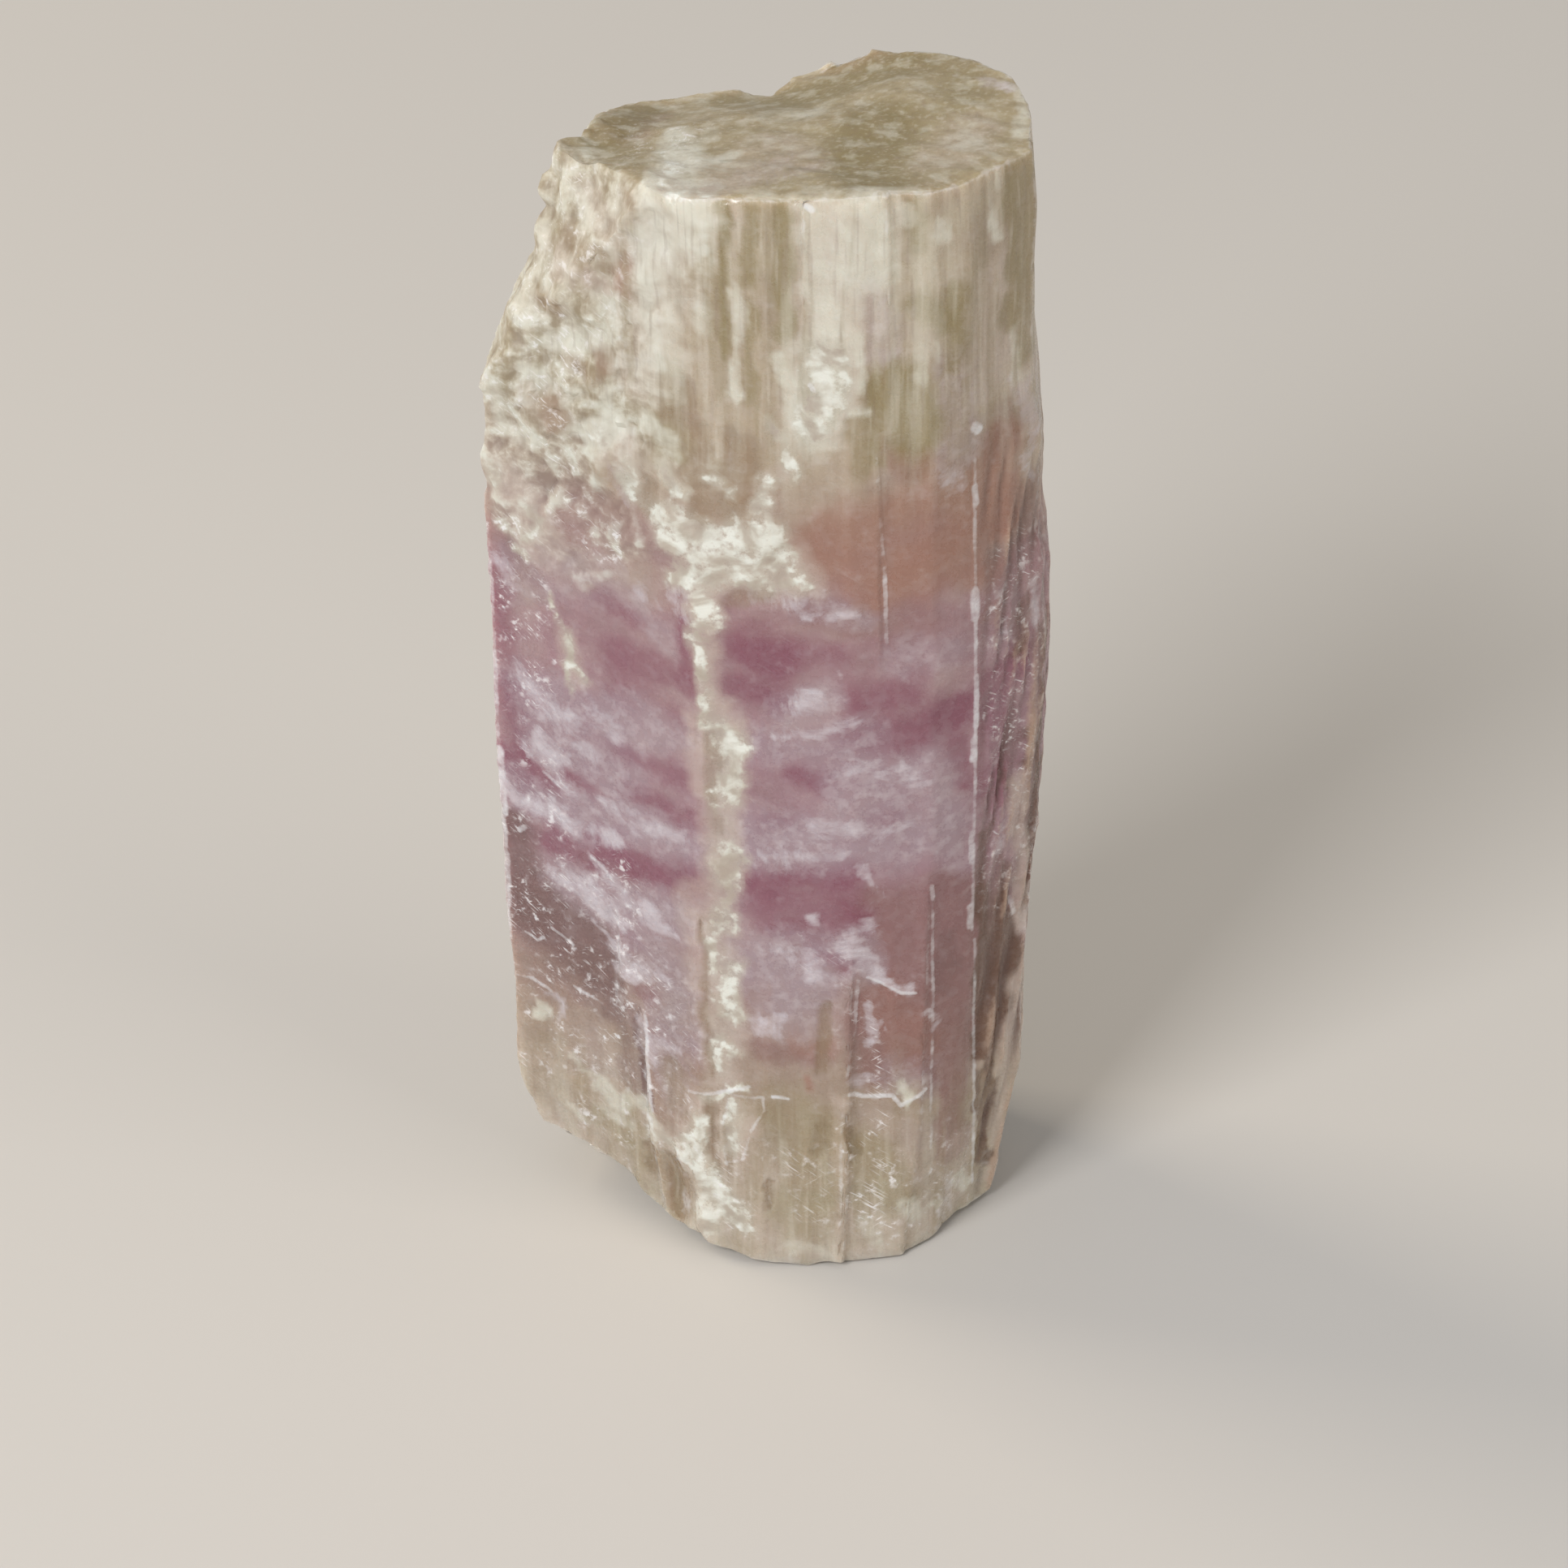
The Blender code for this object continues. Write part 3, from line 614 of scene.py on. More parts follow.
        "fade": 1.0,
        "front": [
            (1.9, 1.0, (-5.0, 38.8), (-6.6, 33.5), (-8.0, 29.0)),
            (1.5, 1.0, (-4.8, 35.0), (-5.4, 31.0)),
            (0.9, 0.8, (-8.4, 28.4), (-8.0, 26.4)),
            (0.9, 0.7, (-6.4, 28.6), (-4.8, 27.2)),
            (0.7, 0.45, (-3.5, 38.8), (-3.8, 34.0), (-3.8, 31.0)),
            (0.8, 0.5, (-3.4, 31.2), (-1.2, 30.0)),
            (0.5, 0.4, (-2.0, 39.4), (-2.2, 37.0)),
            (0.7, 0.5, (-7.4, 25.6), (-6.0, 25.4)),
        ],
        "back": [
            (2.4, 1.0, (-5.6, 38.4), (-7.4, 33.0), (-8.4, 28.0)),
            (1.2, 0.7, (-7.6, 27.0), (-7.0, 23.5)),
        ],
        "top": [
            (0.9, 0.9, (-6.0, -1.0), (-5.6, 1.6)),
            (0.6, 0.8, (-4.2, -4.0), (-5.6, -1.4)),
            (0.9, 0.6, (-3.0, -4.0), (-2.8, -1.8)),
        ],
    },
    "crust": {
        # cream crust that fills the seam and the arrowhead above it
        "fade": 1.3,
        "front": [
            (0.60, 1.0, (-3.3, 28.3), (-2.7, 28.0)),
            (0.50, 1.0, (-1.8, 27.9), (-0.8, 28.2)),
            (0.45, 0.9, (-3.3, 27.4), (-2.4, 27.3)),
            (0.45, 0.8, (-1.8, 27.2), (-0.4, 27.3)),
            (0.42, 1.0, (-2.7, 26.3), (-1.6, 26.5), (-0.6, 26.6)),
            (0.45, 0.8, (-0.5, 26.4), (0.9, 26.5)),
            (0.50, 1.0, (0.0, 28.2), (0.4, 27.4)),
            (0.40, 0.9, (-0.1, 30.0), (-0.2, 29.2)),
            (0.55, 0.9, (1.6, 34.6), (1.8, 33.4), (1.5, 32.2)),
            (0.22, 0.8, (2.3, 35.0), (2.3, 33.0)),
            (0.25, 0.9, (0.6, 31.1), (0.9, 30.3)),
            (0.25, 0.8, (0.1, 32.0), (0.4, 31.7)),
            (0.22, 1.0, (-1.95, 30.1), (-1.8, 30.0)),
            (0.18, 0.9, (-1.4, 29.7), (-1.3, 29.6)),
            (0.25, 0.9, (-3.1, 30.0), (-3.0, 29.4)),
            (0.22, 0.8, (-5.5, 30.3), (-5.1, 30.8)),
            (0.22, 0.8, (-4.5, 29.9), (-4.4, 28.6)),
            (0.42, 0.9, (-2.0, 25.6), (-1.8, 24.8)),
            (0.20, 0.9, (-2.1, 23.6), (-2.1, 22.8)),
            (0.20, 0.7, (-2.4, 24.6), (-2.5, 24.0)),
            (0.22, 0.9, (-2.1, 21.8), (-2.1, 20.8)),
            (0.30, 0.40, (-2.0, 25.0), (-2.0, 21.4)),
            (0.45, 0.45, (-1.7, 20.8), (-1.6, 18.4), (-1.7, 16.0)),
            (0.35, 0.30, (-1.8, 15.6), (-1.9, 12.4), (-1.8, 7.6)),
            (0.55, 0.9, (-1.3, 20.6), (-1.2, 20.0)),
            (0.42, 0.9, (-1.3, 20.0), (-1.2, 18.9)),
            (0.25, 0.9, (-1.2, 18.6), (-1.1, 18.1)),
            (0.45, 0.9, (-1.2, 16.0), (-1.6, 15.6), (-1.5, 15.0)),
            (0.18, 0.7, (-1.4, 14.6), (-1.5, 13.8), (-1.3, 12.9)),
            (0.20, 0.6, (-1.8, 14.0), (-1.7, 12.8)),
            (0.16, 1.0, (-2.1, 12.4), (-2.05, 11.6)),
            (0.26, 0.8, (-1.3, 11.7), (-1.45, 10.6), (-1.25, 9.7)),
            (0.18, 0.7, (-1.6, 10.8), (-1.6, 10.0)),
            (0.18, 0.9, (-1.8, 8.7), (-1.4, 8.3)),
            (0.14, 0.9, (-2.1, 8.4), (-2.0, 7.6)),
            (0.14, 1.0, (-2.5, 6.5), (-1.6, 6.6), (-0.9, 7.1)),
            (0.28, 0.8, (-1.35, 6.1), (-1.45, 4.4)),
            (0.28, 0.9, (-2.4, 5.6), (-2.5, 4.6)),
            (0.50, 1.0, (-2.8, 4.5), (-2.7, 3.9), (-2.5, 3.4)),
            (0.28, 0.8, (-3.8, 4.2), (-3.1, 3.7)),
            (0.55, 1.0, (-2.4, 3.0), (-2.4, 1.5)),
            (0.42, 0.9, (-1.8, 2.5), (-1.3, 1.8)),
            (0.24, 0.9, (-1.5, 1.5), (-1.0, 1.2)),
            (0.22, 0.8, (-4.2, 4.2), (-4.1, 3.6)),
            (0.20, 0.9, (-6.7, 22.9), (-6.6, 22.3)),
            (0.16, 0.9, (-6.5, 22.0), (-6.6, 21.4)),
            (0.14, 0.8, (-6.3, 21.6), (-6.1, 21.2)),
            (0.10, 0.8, (-7.2, 24.1), (-7.0, 23.3)),
            (0.10, 0.8, (-6.7, 21.0), (-6.5, 20.6)),
            (0.24, 0.9, (-7.8, 27.2), (-7.4, 26.7)),
            (0.20, 0.9, (-7.5, 26.2), (-7.8, 25.8)),
            (0.14, 0.8, (-8.2, 25.4), (-7.9, 25.2)),
            (0.24, 0.8, (-8.9, 28.2), (-8.8, 27.7)),
            (0.20, 0.7, (-7.0, 28.0), (-6.6, 27.8)),
        ],
        "top": [(0.45, 0.8, (-2.9, -4.4), (-2.7, -2.0)), (0.42, 1.0, (-1.8, -4.6), (-1.5, -4.2)), (0.20, 0.8, (-2.8, -4.5), (-2.5, -4.4))],
    },
    "lineAndHighlight": {
        # thin bright lines: edges of growth steps and healed cracks, with painted highlights along the stone's left
        # and right edges and a few short painted glints
        "fade": 0.9,
        "front": [
            # the stone's left edge: a painted highlight
            (0.10, 0.7, (-9.15, 26.0), (-9.1, 18.0)),
            (0.16, 1.0, (-9.05, 17.4), (-9.0, 14.9)),
            (0.13, 1.0, (-9.05, 14.6), (-9.0, 11.2)),
            (0.17, 1.0, (-9.05, 13.2), (-9.02, 12.2)),
            (0.12, 1.0, (-9.05, 11.0), (-9.0, 9.6)),
            (0.08, 0.5, (-9.0, 9.0), (-8.8, 5.0)),
            # the edge between the front and the right face: a painted highlight
            (0.055, 0.75, (6.60, 30.2), (6.68, 21.0), (6.60, 12.4)),
            (0.15, 0.9, (6.55, 31.45), (6.70, 31.2)),
            (0.10, 0.9, (6.60, 29.2), (6.66, 28.6)),
            (0.14, 1.0, (6.62, 25.4), (6.62, 24.5)),
            (0.09, 1.0, (6.68, 22.3), (6.70, 20.4)),
            (0.12, 0.9, (6.62, 19.9), (6.60, 19.2)),
            (0.09, 0.9, (6.55, 16.4), (6.56, 15.2)),
            (0.12, 0.9, (6.52, 13.4), (6.52, 12.6)),
            (0.05, 0.8, (6.68, 12.0), (6.70, 1.2)),
            (0.05, 0.65, (5.22, 14.8), (5.28, 11.0), (5.20, 3.0)),
            (0.09, 0.8, (5.20, 14.8), (5.24, 14.3)),
            (0.09, 0.7, (5.16, 9.8), (5.22, 9.2)),
            (0.06, 0.5, (3.45, 31.0), (3.56, 28.8), (3.66, 27.2)),
            (0.07, 0.7, (3.70, 27.0), (3.76, 24.2)),
            (0.07, 0.7, (2.78, 11.3), (2.66, 9.4), (2.40, 7.6)),
            (0.06, 0.5, (2.28, 7.2), (2.16, 5.0), (2.14, 2.2)),
            (0.06, 0.9, (-4.34, 8.8), (-4.28, 6.4), (-4.20, 5.0)),
            (0.06, 0.6, (-5.34, 9.9), (-5.30, 8.8)),
            (0.05, 0.6, (-1.55, 6.70), (-0.45, 6.75), (-0.40, 6.25), (-0.85, 5.45)),
            (0.05, 0.6, (-0.85, 5.45), (-1.15, 4.2), (-1.75, 3.9)),
            (0.05, 0.6, (-1.7, 3.8), (-1.85, 5.0), (-1.6, 6.5)),
            (0.07, 0.9, (-2.9, 6.5), (-2.2, 6.6), (-1.4, 6.9), (-0.9, 7.1)),
            (0.08, 1.0, (2.5, 6.9), (2.9, 6.7), (3.9, 6.65), (4.2, 6.2), (5.0, 6.6)),
            (0.05, 0.5, (0.1, 3.4), (0.9, 3.2), (1.6, 3.8), (1.9, 3.9)),
            (0.05, 0.5, (0.1, 1.2), (1.2, 1.1), (2.0, 1.6), (2.2, 2.0)),
            (0.05, 0.45, (0.1, 5.0), (1.0, 4.4), (1.3, 4.0)),
            (0.05, 0.5, (-0.5, 4.4), (-0.4, 3.0), (-0.1, 2.2)),
            (0.06, 0.9, (-6.8, 8.7), (-5.8, 8.4)),
            (0.07, 0.9, (-9.0, 8.3), (-8.2, 8.3), (-7.6, 8.05)),
            (0.06, 0.9, (-7.5, 10.8), (-6.8, 10.4)),
            (0.06, 0.9, (-8.4, 10.3), (-8.0, 10.1), (-7.8, 10.3)),
            (0.06, 0.9, (3.1, 11.4), (3.9, 11.0), (4.2, 10.75), (4.7, 10.7)),
            (0.05, 0.8, (-0.1, 6.75), (0.4, 6.7)),
            (0.06, 0.7, (-6.0, 14.4), (-5.4, 13.8)),
            (0.06, 0.7, (-7.6, 17.1), (-7.0, 16.6)),
            (0.10, 0.9, (-8.5, 14.4), (-8.3, 14.6)),
            (0.06, 0.8, (8.70, 15.0), (8.86, 14.4)),
            (0.06, 0.8, (8.80, 13.8), (8.84, 13.0)),
            (0.08, 0.8, (7.9, 12.8), (8.1, 12.0)),
            # short painted glints
            (0.12, 1.0, (1.35, 39.9), (1.5, 39.8)),
            (0.10, 1.0, (1.4, 33.7), (1.5, 33.5)),
        ],
    },
    "fleck": {
        # where short bright scratches and crumbs gather, the crumbs also standing in as painted glints
        "fade": 1.2,
        "front": [
            (1.3, 1.0, (-8.2, 14.0), (-7.4, 9.0), (-7.8, 5.0)),
            (1.2, 1.0, (-5.8, 14.0), (-5.4, 11.4), (-5.6, 8.0)),
            (1.0, 1.0, (-6.4, 6.4), (-5.0, 4.4), (-3.6, 4.4)),
            (1.2, 0.9, (-8.2, 8.0), (-7.4, 4.4), (-5.0, 3.0)),
            (0.9, 0.8, (-3.8, 10.0), (-3.6, 6.0)),
            (1.0, 0.9, (-8.4, 25.6), (-7.8, 20.6)),
            (0.9, 0.6, (-8.0, 18.6), (-7.4, 15.8)),
            (0.8, 0.8, (-6.6, 28.4), (-5.2, 26.6)),
            (1.2, 0.9, (2.9, 5.8), (3.8, 1.8)),
            (0.8, 0.6, (5.8, 3.8), (6.1, 1.4)),
            (0.7, 0.6, (0.4, 4.4), (1.4, 2.4)),
            (0.6, 0.8, (2.8, 9.4), (3.2, 7.4)),
            (0.6, 0.6, (0.8, 12.8), (2.4, 11.8)),
            (0.9, 0.8, (8.0, 26.0), (7.8, 13.0)),
            (1.6, 0.6, (-6.0, 38.0), (-7.8, 30.0)),
            (0.6, 0.7, (-1.6, 4.6), (-1.4, 1.6)),
        ],
        "top": [(1.2, 0.6, (-3.4, -3.0), (-3.0, 1.0))],
    },
}
paintWander = {                     # (size, reach) in mm of the wander of a stroke's edge
    "wide": (1.7, 0.30),
    "middle": (0.95, 0.22),
    "fine": (0.45, 0.15),
    "right": (1.4, 0.75),           # the right face and the back stray further
    "back": (4.5, 2.6),
}
backShift = (0.9, -1.1)


def strokeMask(places, strokes, fade):
    # how much of the strokes lies on each place, from 0 to 1
    clear = np.ones(len(places))
    for halfWidth, strength, *path in strokes:
        nearest = np.full(len(places), 1e9)
        for start, end in zip(path, path[1:]):
            start, end = np.array(start), np.array(end)
            run = end - start
            share = np.clip((places - start) @ run / (run @ run), 0.0, 1.0)
            nearest = np.minimum(nearest, np.linalg.norm(places - start - share[:, None] * run, axis=1))
        inner, outer = halfWidth * (1.0 - 0.5 * fade), halfWidth * (1.0 + 0.5 * fade) + 0.03
        clear *= 1.0 - strength * (1.0 - smooth(inner, outer, nearest))
    return 1.0 - clear


def frontShare(places):
    # 1 on the side towards the camera, 0 on the back
    x, y = places[:, 0], places[:, 1]
    return 1.0 - smooth(-0.7, 0.4, y - 0.07 * (x + 9.0))


def strayed(places, name, share):
    size, reach = paintWander[name]
    seed = 11.0 * list(paintWander).index(name) + 0.5
    drift = np.stack([noiseAt(places, size, seed + 3.7 * axis) for axis in range(3)], axis=1)
    return places + reach * drift * np.asarray(share)[:, None]


def paintMasks(places, normals):
    onTop = smooth(0.55, 0.8, normals[:, 2]) * smooth(36.0, 37.5, places[:, 2])
    onFront = frontShare(places)
    moved = strayed(places, "wide", np.ones(len(places)))
    moved = strayed(moved, "middle", np.ones(len(places)))
    moved = strayed(moved, "fine", np.ones(len(places)))
    deep = smooth(6.4, 7.2, places[:, 0]) * smooth(-2.8, -0.2, places[:, 1])
    moved = strayed(moved, "right", deep * (1.0 - onTop))
    astray = strayed(moved, "back", np.ones(len(places)))
    behind = np.stack([backShift[0] - astray[:, 0], moved[:, 2] + backShift[1] + 0.4 * (astray[:, 2] - moved[:, 2])], axis=1)
    masks = {}
    for name, layer in paint.items():
        spots = places if name == "lineAndHighlight" else moved
        sides = strokeMask(spots[:, [0, 2]], layer["front"], layer["fade"]) * onFront
        rear = strokeMask(moved[:, [0, 2]] if "back" in layer else behind, layer.get("back", layer["front"]), layer["fade"])
        sides += rear * (1.0 - onFront) * (0.4 if name == "lineAndHighlight" else 1.0)
        lid = strokeMask(spots[:, [0, 1]], layer.get("top", []), layer["fade"])
        masks[name] = sides * (1.0 - onTop) + lid * onTop
    masks["cap"] = onTop
    return masks


def sharpenLines(bm):
    # a finer net under the thin pale lines, so that they stay thin
    layer = paint["lineAndHighlight"]
    for reach in (0.20, 0.10):
        bm.verts.index_update()
        places = np.array([v.co for v in bm.verts])
        wide = [(halfWidth + reach, 1.0, *path) for halfWidth, strength, *path in layer["front"]]
        near = strokeMask(places[:, [0, 2]], wide, 0.2) * frontShare(places)
        edges = [e for e in bm.edges if min(near[e.verts[0].index], near[e.verts[1].index]) > 0.3]
        bmesh.ops.subdivide_edges(bm, edges=edges, cuts=1, use_grid_fill=True)


def softenSteps(bm):
    # the low growth steps right of the seam are worn to gentle slopes
    bm.normal_update()
    for turn in range(crystalShape["stepSoftening"]):
        worn = [
            v for v in bm.verts
            if v.co.y < 0.0 and -1.4 < v.co.x < 6.2 and 0.8 < v.co.z < 36.0 and abs(v.normal.x) > 0.22
        ]
        around = {other for v in worn for e in v.link_edges for other in e.verts}
        bmesh.ops.smooth_vert(
            bm, verts=list(around), factor=0.5, use_axis_x=True, use_axis_y=True, use_axis_z=False
        )
        bm.normal_update()


def carve(bm):
    # natural relief: growth lines, fibres, sugary lumps and grains, crust, worn edges
    places, normals = readPoints(bm)
    wearAndSheen = edgeWear(bm)
    masks = paintMasks(places, normals)
    x, y, z = places.T
    shape = crystalShape
    wall = 1.0 - smooth(0.45, 0.8, np.abs(normals[:, 2]))
    onTop = smooth(0.6, 0.85, normals[:, 2]) * smooth(36.0, 38.0, z)
    onBase = smooth(0.3, 0.7, -normals[:, 2])
    right = smooth(6.6, 7.3, x) * wall * smooth(32.0, 29.0, z)
    sugar, crust = masks["sugar"], masks["crust"]

    width = shape["striaWidth"]
    stria = noiseAt(places, (width * 1.7, width * 1.7, 13.0), 4.1)
    stria = stria + 0.6 * noiseAt(places, (width, width, 6.0), 9.3)
    bands = 0.25 + 0.75 * smooth(27.0, 31.0, z) + 0.5 * (1.0 - smooth(6.0, 12.0, z))
    moved = shape["striaHeight"] * stria * bands * wall * (1.0 - sugar) * (1.0 - right)

    width = shape["fibreWidth"]
    slanted = places.copy()
    slanted[:, 0] -= 0.13 * z
    slanted[:, 1] -= 0.10 * z
    fibre = noiseAt(slanted, (width, width, 3.0), 2.2) + 0.8 * noiseAt(slanted, (0.8, 0.8, 6.0), 6.2)
    moved += shape["fibreHeight"] * fibre * right

    lump = noiseAt(places, shape["lumpSize"], 8.0) + 0.5 * noiseAt(places, shape["lumpSize"] * 0.45, 2.7)
    leaning = places.copy()
    leaning[:, 2] -= 0.6 * places[:, 0]
    near, gap = cellsAt(leaning * (1.0, 1.0, 1.3) + 0.35 * lump[:, None], shape["grainSize"], 1.3)
    ragged = noiseAt(leaning, (0.55, 0.55, 0.30), 6.8) + 0.5 * noiseAt(leaning, (0.26, 0.26, 0.16), 3.8)
    grain = 0.5 * (0.5 - near) + (0.55 - 0.25 * smooth(31.0, 34.0, z)) * ragged
    moved += sugar * (shape["lumpHeight"] * lump + shape["grainHeight"] * grain)

    near, gap = cellsAt(places, shape["crustKnob"], 7.7)
    knob = 0.8 * (0.5 - near) + 0.7 * noiseAt(places, 0.9, 5.2) + 0.35 * noiseAt(places, 0.35, 4.4)
    moved += crust * shape["crustHeight"] * (0.1 + knob) * wall * (1.0 - 0.5 * sugar)
    moved += masks["lineAndHighlight"] * shape["beadHeight"] * (1.0 + noiseAt(places, 0.4, 1.1))
    moved -= 0.12 * masks["tan"] * wall * (1.0 - sugar)

    broken = masks["fleck"] * wall
    moved += broken * 0.06 * noiseAt(places, (1.1, 1.1, 0.45), 7.1)
    moved += noiseAt(places, 2.4, 3.3) * 0.05 + noiseAt(places, (0.9, 0.9, 1.6), 5.9) * 0.03
    ridges = noiseAt(places + 0.4 * places[:, [1, 0, 2]], (2.2, 0.55, 1.0), 2.9)
    moved += onTop * 0.05 * (ridges + 0.6 * noiseAt(places, (1.0, 0.5, 1.0), 6.1))

    chips = np.clip(noiseAt(places, 0.55, 6.6) - 0.05, 0.0, 1.0) * wearAndSheen
    moved -= shape["chip"] * chips * (1.0 - 0.5 * onTop)
    moved *= 1.0 - onBase
    out = places + normals * moved[:, None]
    for middle, reach, shift in shape["nudges"]:
        near = 1.0 - smooth(0.3 * reach, reach, np.linalg.norm(places - middle, axis=1))
        out += near[:, None] * np.array(shift)
    out[:, 2] = np.maximum(out[:, 2], 0.0)
    for vert, place in zip(bm.verts, out):
        vert.co = place
    # the risers of the front steps, turned away from the key lamp, also get the pale line colour: a painted highlight
    # laid over their shade
    riserPaintedLight = smooth(0.55, 0.85, np.abs(normals[:, 0])) * frontShare(places) * smooth(6.2, 5.9, np.abs(x))
    riserPaintedLight = riserPaintedLight * np.maximum(smooth(1.0, 1.6, x), smooth(-2.8, -3.2, x))
    masks["lineAndHighlight"] = np.maximum(masks["lineAndHighlight"], 0.55 * riserPaintedLight * smooth(34.0, 31.0, z) * (1.0 - sugar))
    # pale crisp edges on the cap's rim and the right side: worn edges, partly a painted highlight
    masks["wearAndSheen"] = wearAndSheen * (1.0 - smooth(0.15, 0.6, sugar)) * np.maximum(smooth(38.0, 39.0, z), smooth(6.0, 6.6, x))
    # the grains' relief, which the shader turns into a painted shade in the hollows and a painted highlight on the
    # crests
    masks["grain"] = 0.5 + grain + 0.3 * lump
    # the fibres' relief, which the shader turns into a painted highlight on the crests and a painted shade in the
    # furrows
    masks["fibre"] = right * (0.5 + 0.6 * fibre)
    masks["right"] = right
    return masks


def finishCrystal():
    bm = refineMesh()
    softenSteps(bm)
    sharpenLines(bm)
    print("mesh refined:", len(bm.verts), "points")
    masks = carve(bm)
    bmesh.ops.recalc_face_normals(bm, faces=bm.faces)
    bmesh.ops.triangulate(bm, faces=bm.faces)
    bm.verts.index_update()
    sharp = math.radians(38)
    for face in bm.faces:
        face.smooth = True
    for edge in bm.edges:
        edge.smooth = not (edge.is_manifold and edge.calc_face_angle() > sharp)
    bmesh.ops.scale(bm, verts=bm.verts, vec=(mm, mm, mm))
    mesh = bpy.data.meshes.new("aragonite")
    bm.to_mesh(mesh)
    bm.free()
    for name, values in masks.items():
        layer = mesh.attributes.new(name, "FLOAT", "POINT")
        layer.data.foreach_set("value", np.asarray(values, np.float32))
    crystal = bpy.data.objects.new("aragonite", mesh)
    scene.collection.objects.link(crystal)
    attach(crystal, "root")
    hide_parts("aragonite_crystal")
    print("crystal carved:", len(mesh.polygons), "triangles")
    return crystal


crystal = finishCrystal()

# Twinned aragonite, grown in the ground and broken by hand: waxy and cloudy, so light sinks in and
# spreads before it comes back.
cloudyAragonite = {
    "body": (
        # height in mm, colour of the stone there
        (0.0, "#B6AC98"),
        (2.0, "#A99E89"),
        (5.0, "#A69683"),
        (8.0, "#A08C80"),
        (11.0, "#9C8381"),
        (15.0, "#9C7D85"),
        (20.0, "#9B7B83"),
        (24.5, "#9C7C80"),
        (28.0, "#A38E81"),
        (31.5, "#AE9F8A"),
        (40.0, "#B5A993"),
    ),
    "capToneAndShade": "#A1926E",             # the broken top is greyer, and painted darker still as a shade that offsets the lamps' light from above
    # texture: size of its clouds in mm (x, y, z), turn in degrees as seen from the front, detail, roughness
    "textures": {
        "cloud": ((3.0, 3.0, 2.2), 0, 2, 0.5),
        "patch": ((0.95, 0.95, 0.70), 0, 4, 0.46),
        "column": ((0.75, 0.75, 8.0), 0, 3, 0.55),
        "fineLine": ((0.18, 0.18, 2.6), 0, 1, 0.5),
        "crumb": ((0.40, 0.40, 0.36), 0, 4, 0.62),
        "scratch": ((0.80, 0.22, 0.055), 36, 1, 0.5),
        "crossScratch": ((0.60, 0.22, 0.055), -30, 1, 0.5),
    },
    # the veils' feathers run down to the right on the left half, nearly level on the right half
    "feather": ((0.95, 0.95, 0.42), (34, -10), 5, 0.66),
    "warp": ((1.6, 1.6, 1.6), 0.7),   # size and reach in mm of the bends in patches and feathers
    # layer: painted mask, texture that breaks it up, by how much, where it starts and is full, opacity, colour
    "layers": (
        ("rose", "patch", 0.6, 0.10, 1.00, 0.75, "#835B5A"),
        ("violet", "patch", 0.9, 0.10, 1.05, 0.85, "#80485B"),
        ("salmon", "cloud", 0.8, 0.10, 1.05, 0.80, "#976B5B"),
        ("clear", "patch", 0.7, 0.05, 0.95, 0.80, "#6F5351"),
        ("umber", "column", 1.6, 0.20, 1.00, 0.88, "#5F3E29"),
        ("haze", "wisp", 1.4, 0.05, 1.10, 0.62, "#A3939B"),
        ("veil", "wisp", 2.9, 0.22, 1.25, 0.80, "#CAC3C8"),
        ("cream", "patch", 0.9, 0.05, 1.05, 0.72, "#C0B1A6"),
        ("tan", "patch", 0.8, 0.10, 0.95, 0.80, "#907960"),
        ("olive", "column", 0.9, 0.10, 0.95, 0.82, "#897A52"),
        ("pale", "patch", 1.2, 0.15, 1.10, 0.82, "#D6D5C8"),
    ),
    "crustLight": "#DFE0D7",
    "crustMid": "#BEB8AA",
    "crustDark": "#AC9F92",
    "sugarLight": "#D2D3C7",
    "sugarMid": "#BCB5A2",
    "sugarGapShade": "#968974",
    "lowSugarMid": "#B2A397",         # its lowest part is pinker, with brown gaps that are partly a painted shade
    "lowSugarGapShade": "#8F7A74",
    "fibreCrestHighlight": "#B79D8A",
    "fibreFurrowShade": "#5E4138",
    # white of scratches and crumbs, also used for the painted glints and the edges' painted highlight
    "fleck": "#EBE9EA",
}


def addNode(tree, kind, settings=None, links=None):
    # settings: a node's own choices or its sockets; links: its sockets and the outputs that feed them
    node = tree.nodes.new(kind)
    for name, value in (settings or {}).items():
        if isinstance(name, str) and hasattr(node, name):
            setattr(node, name, value)
        else:
            node.inputs[name].default_value = value
    for name, output in (links or {}).items():
        tree.links.new(output, node.inputs[name])
    return node


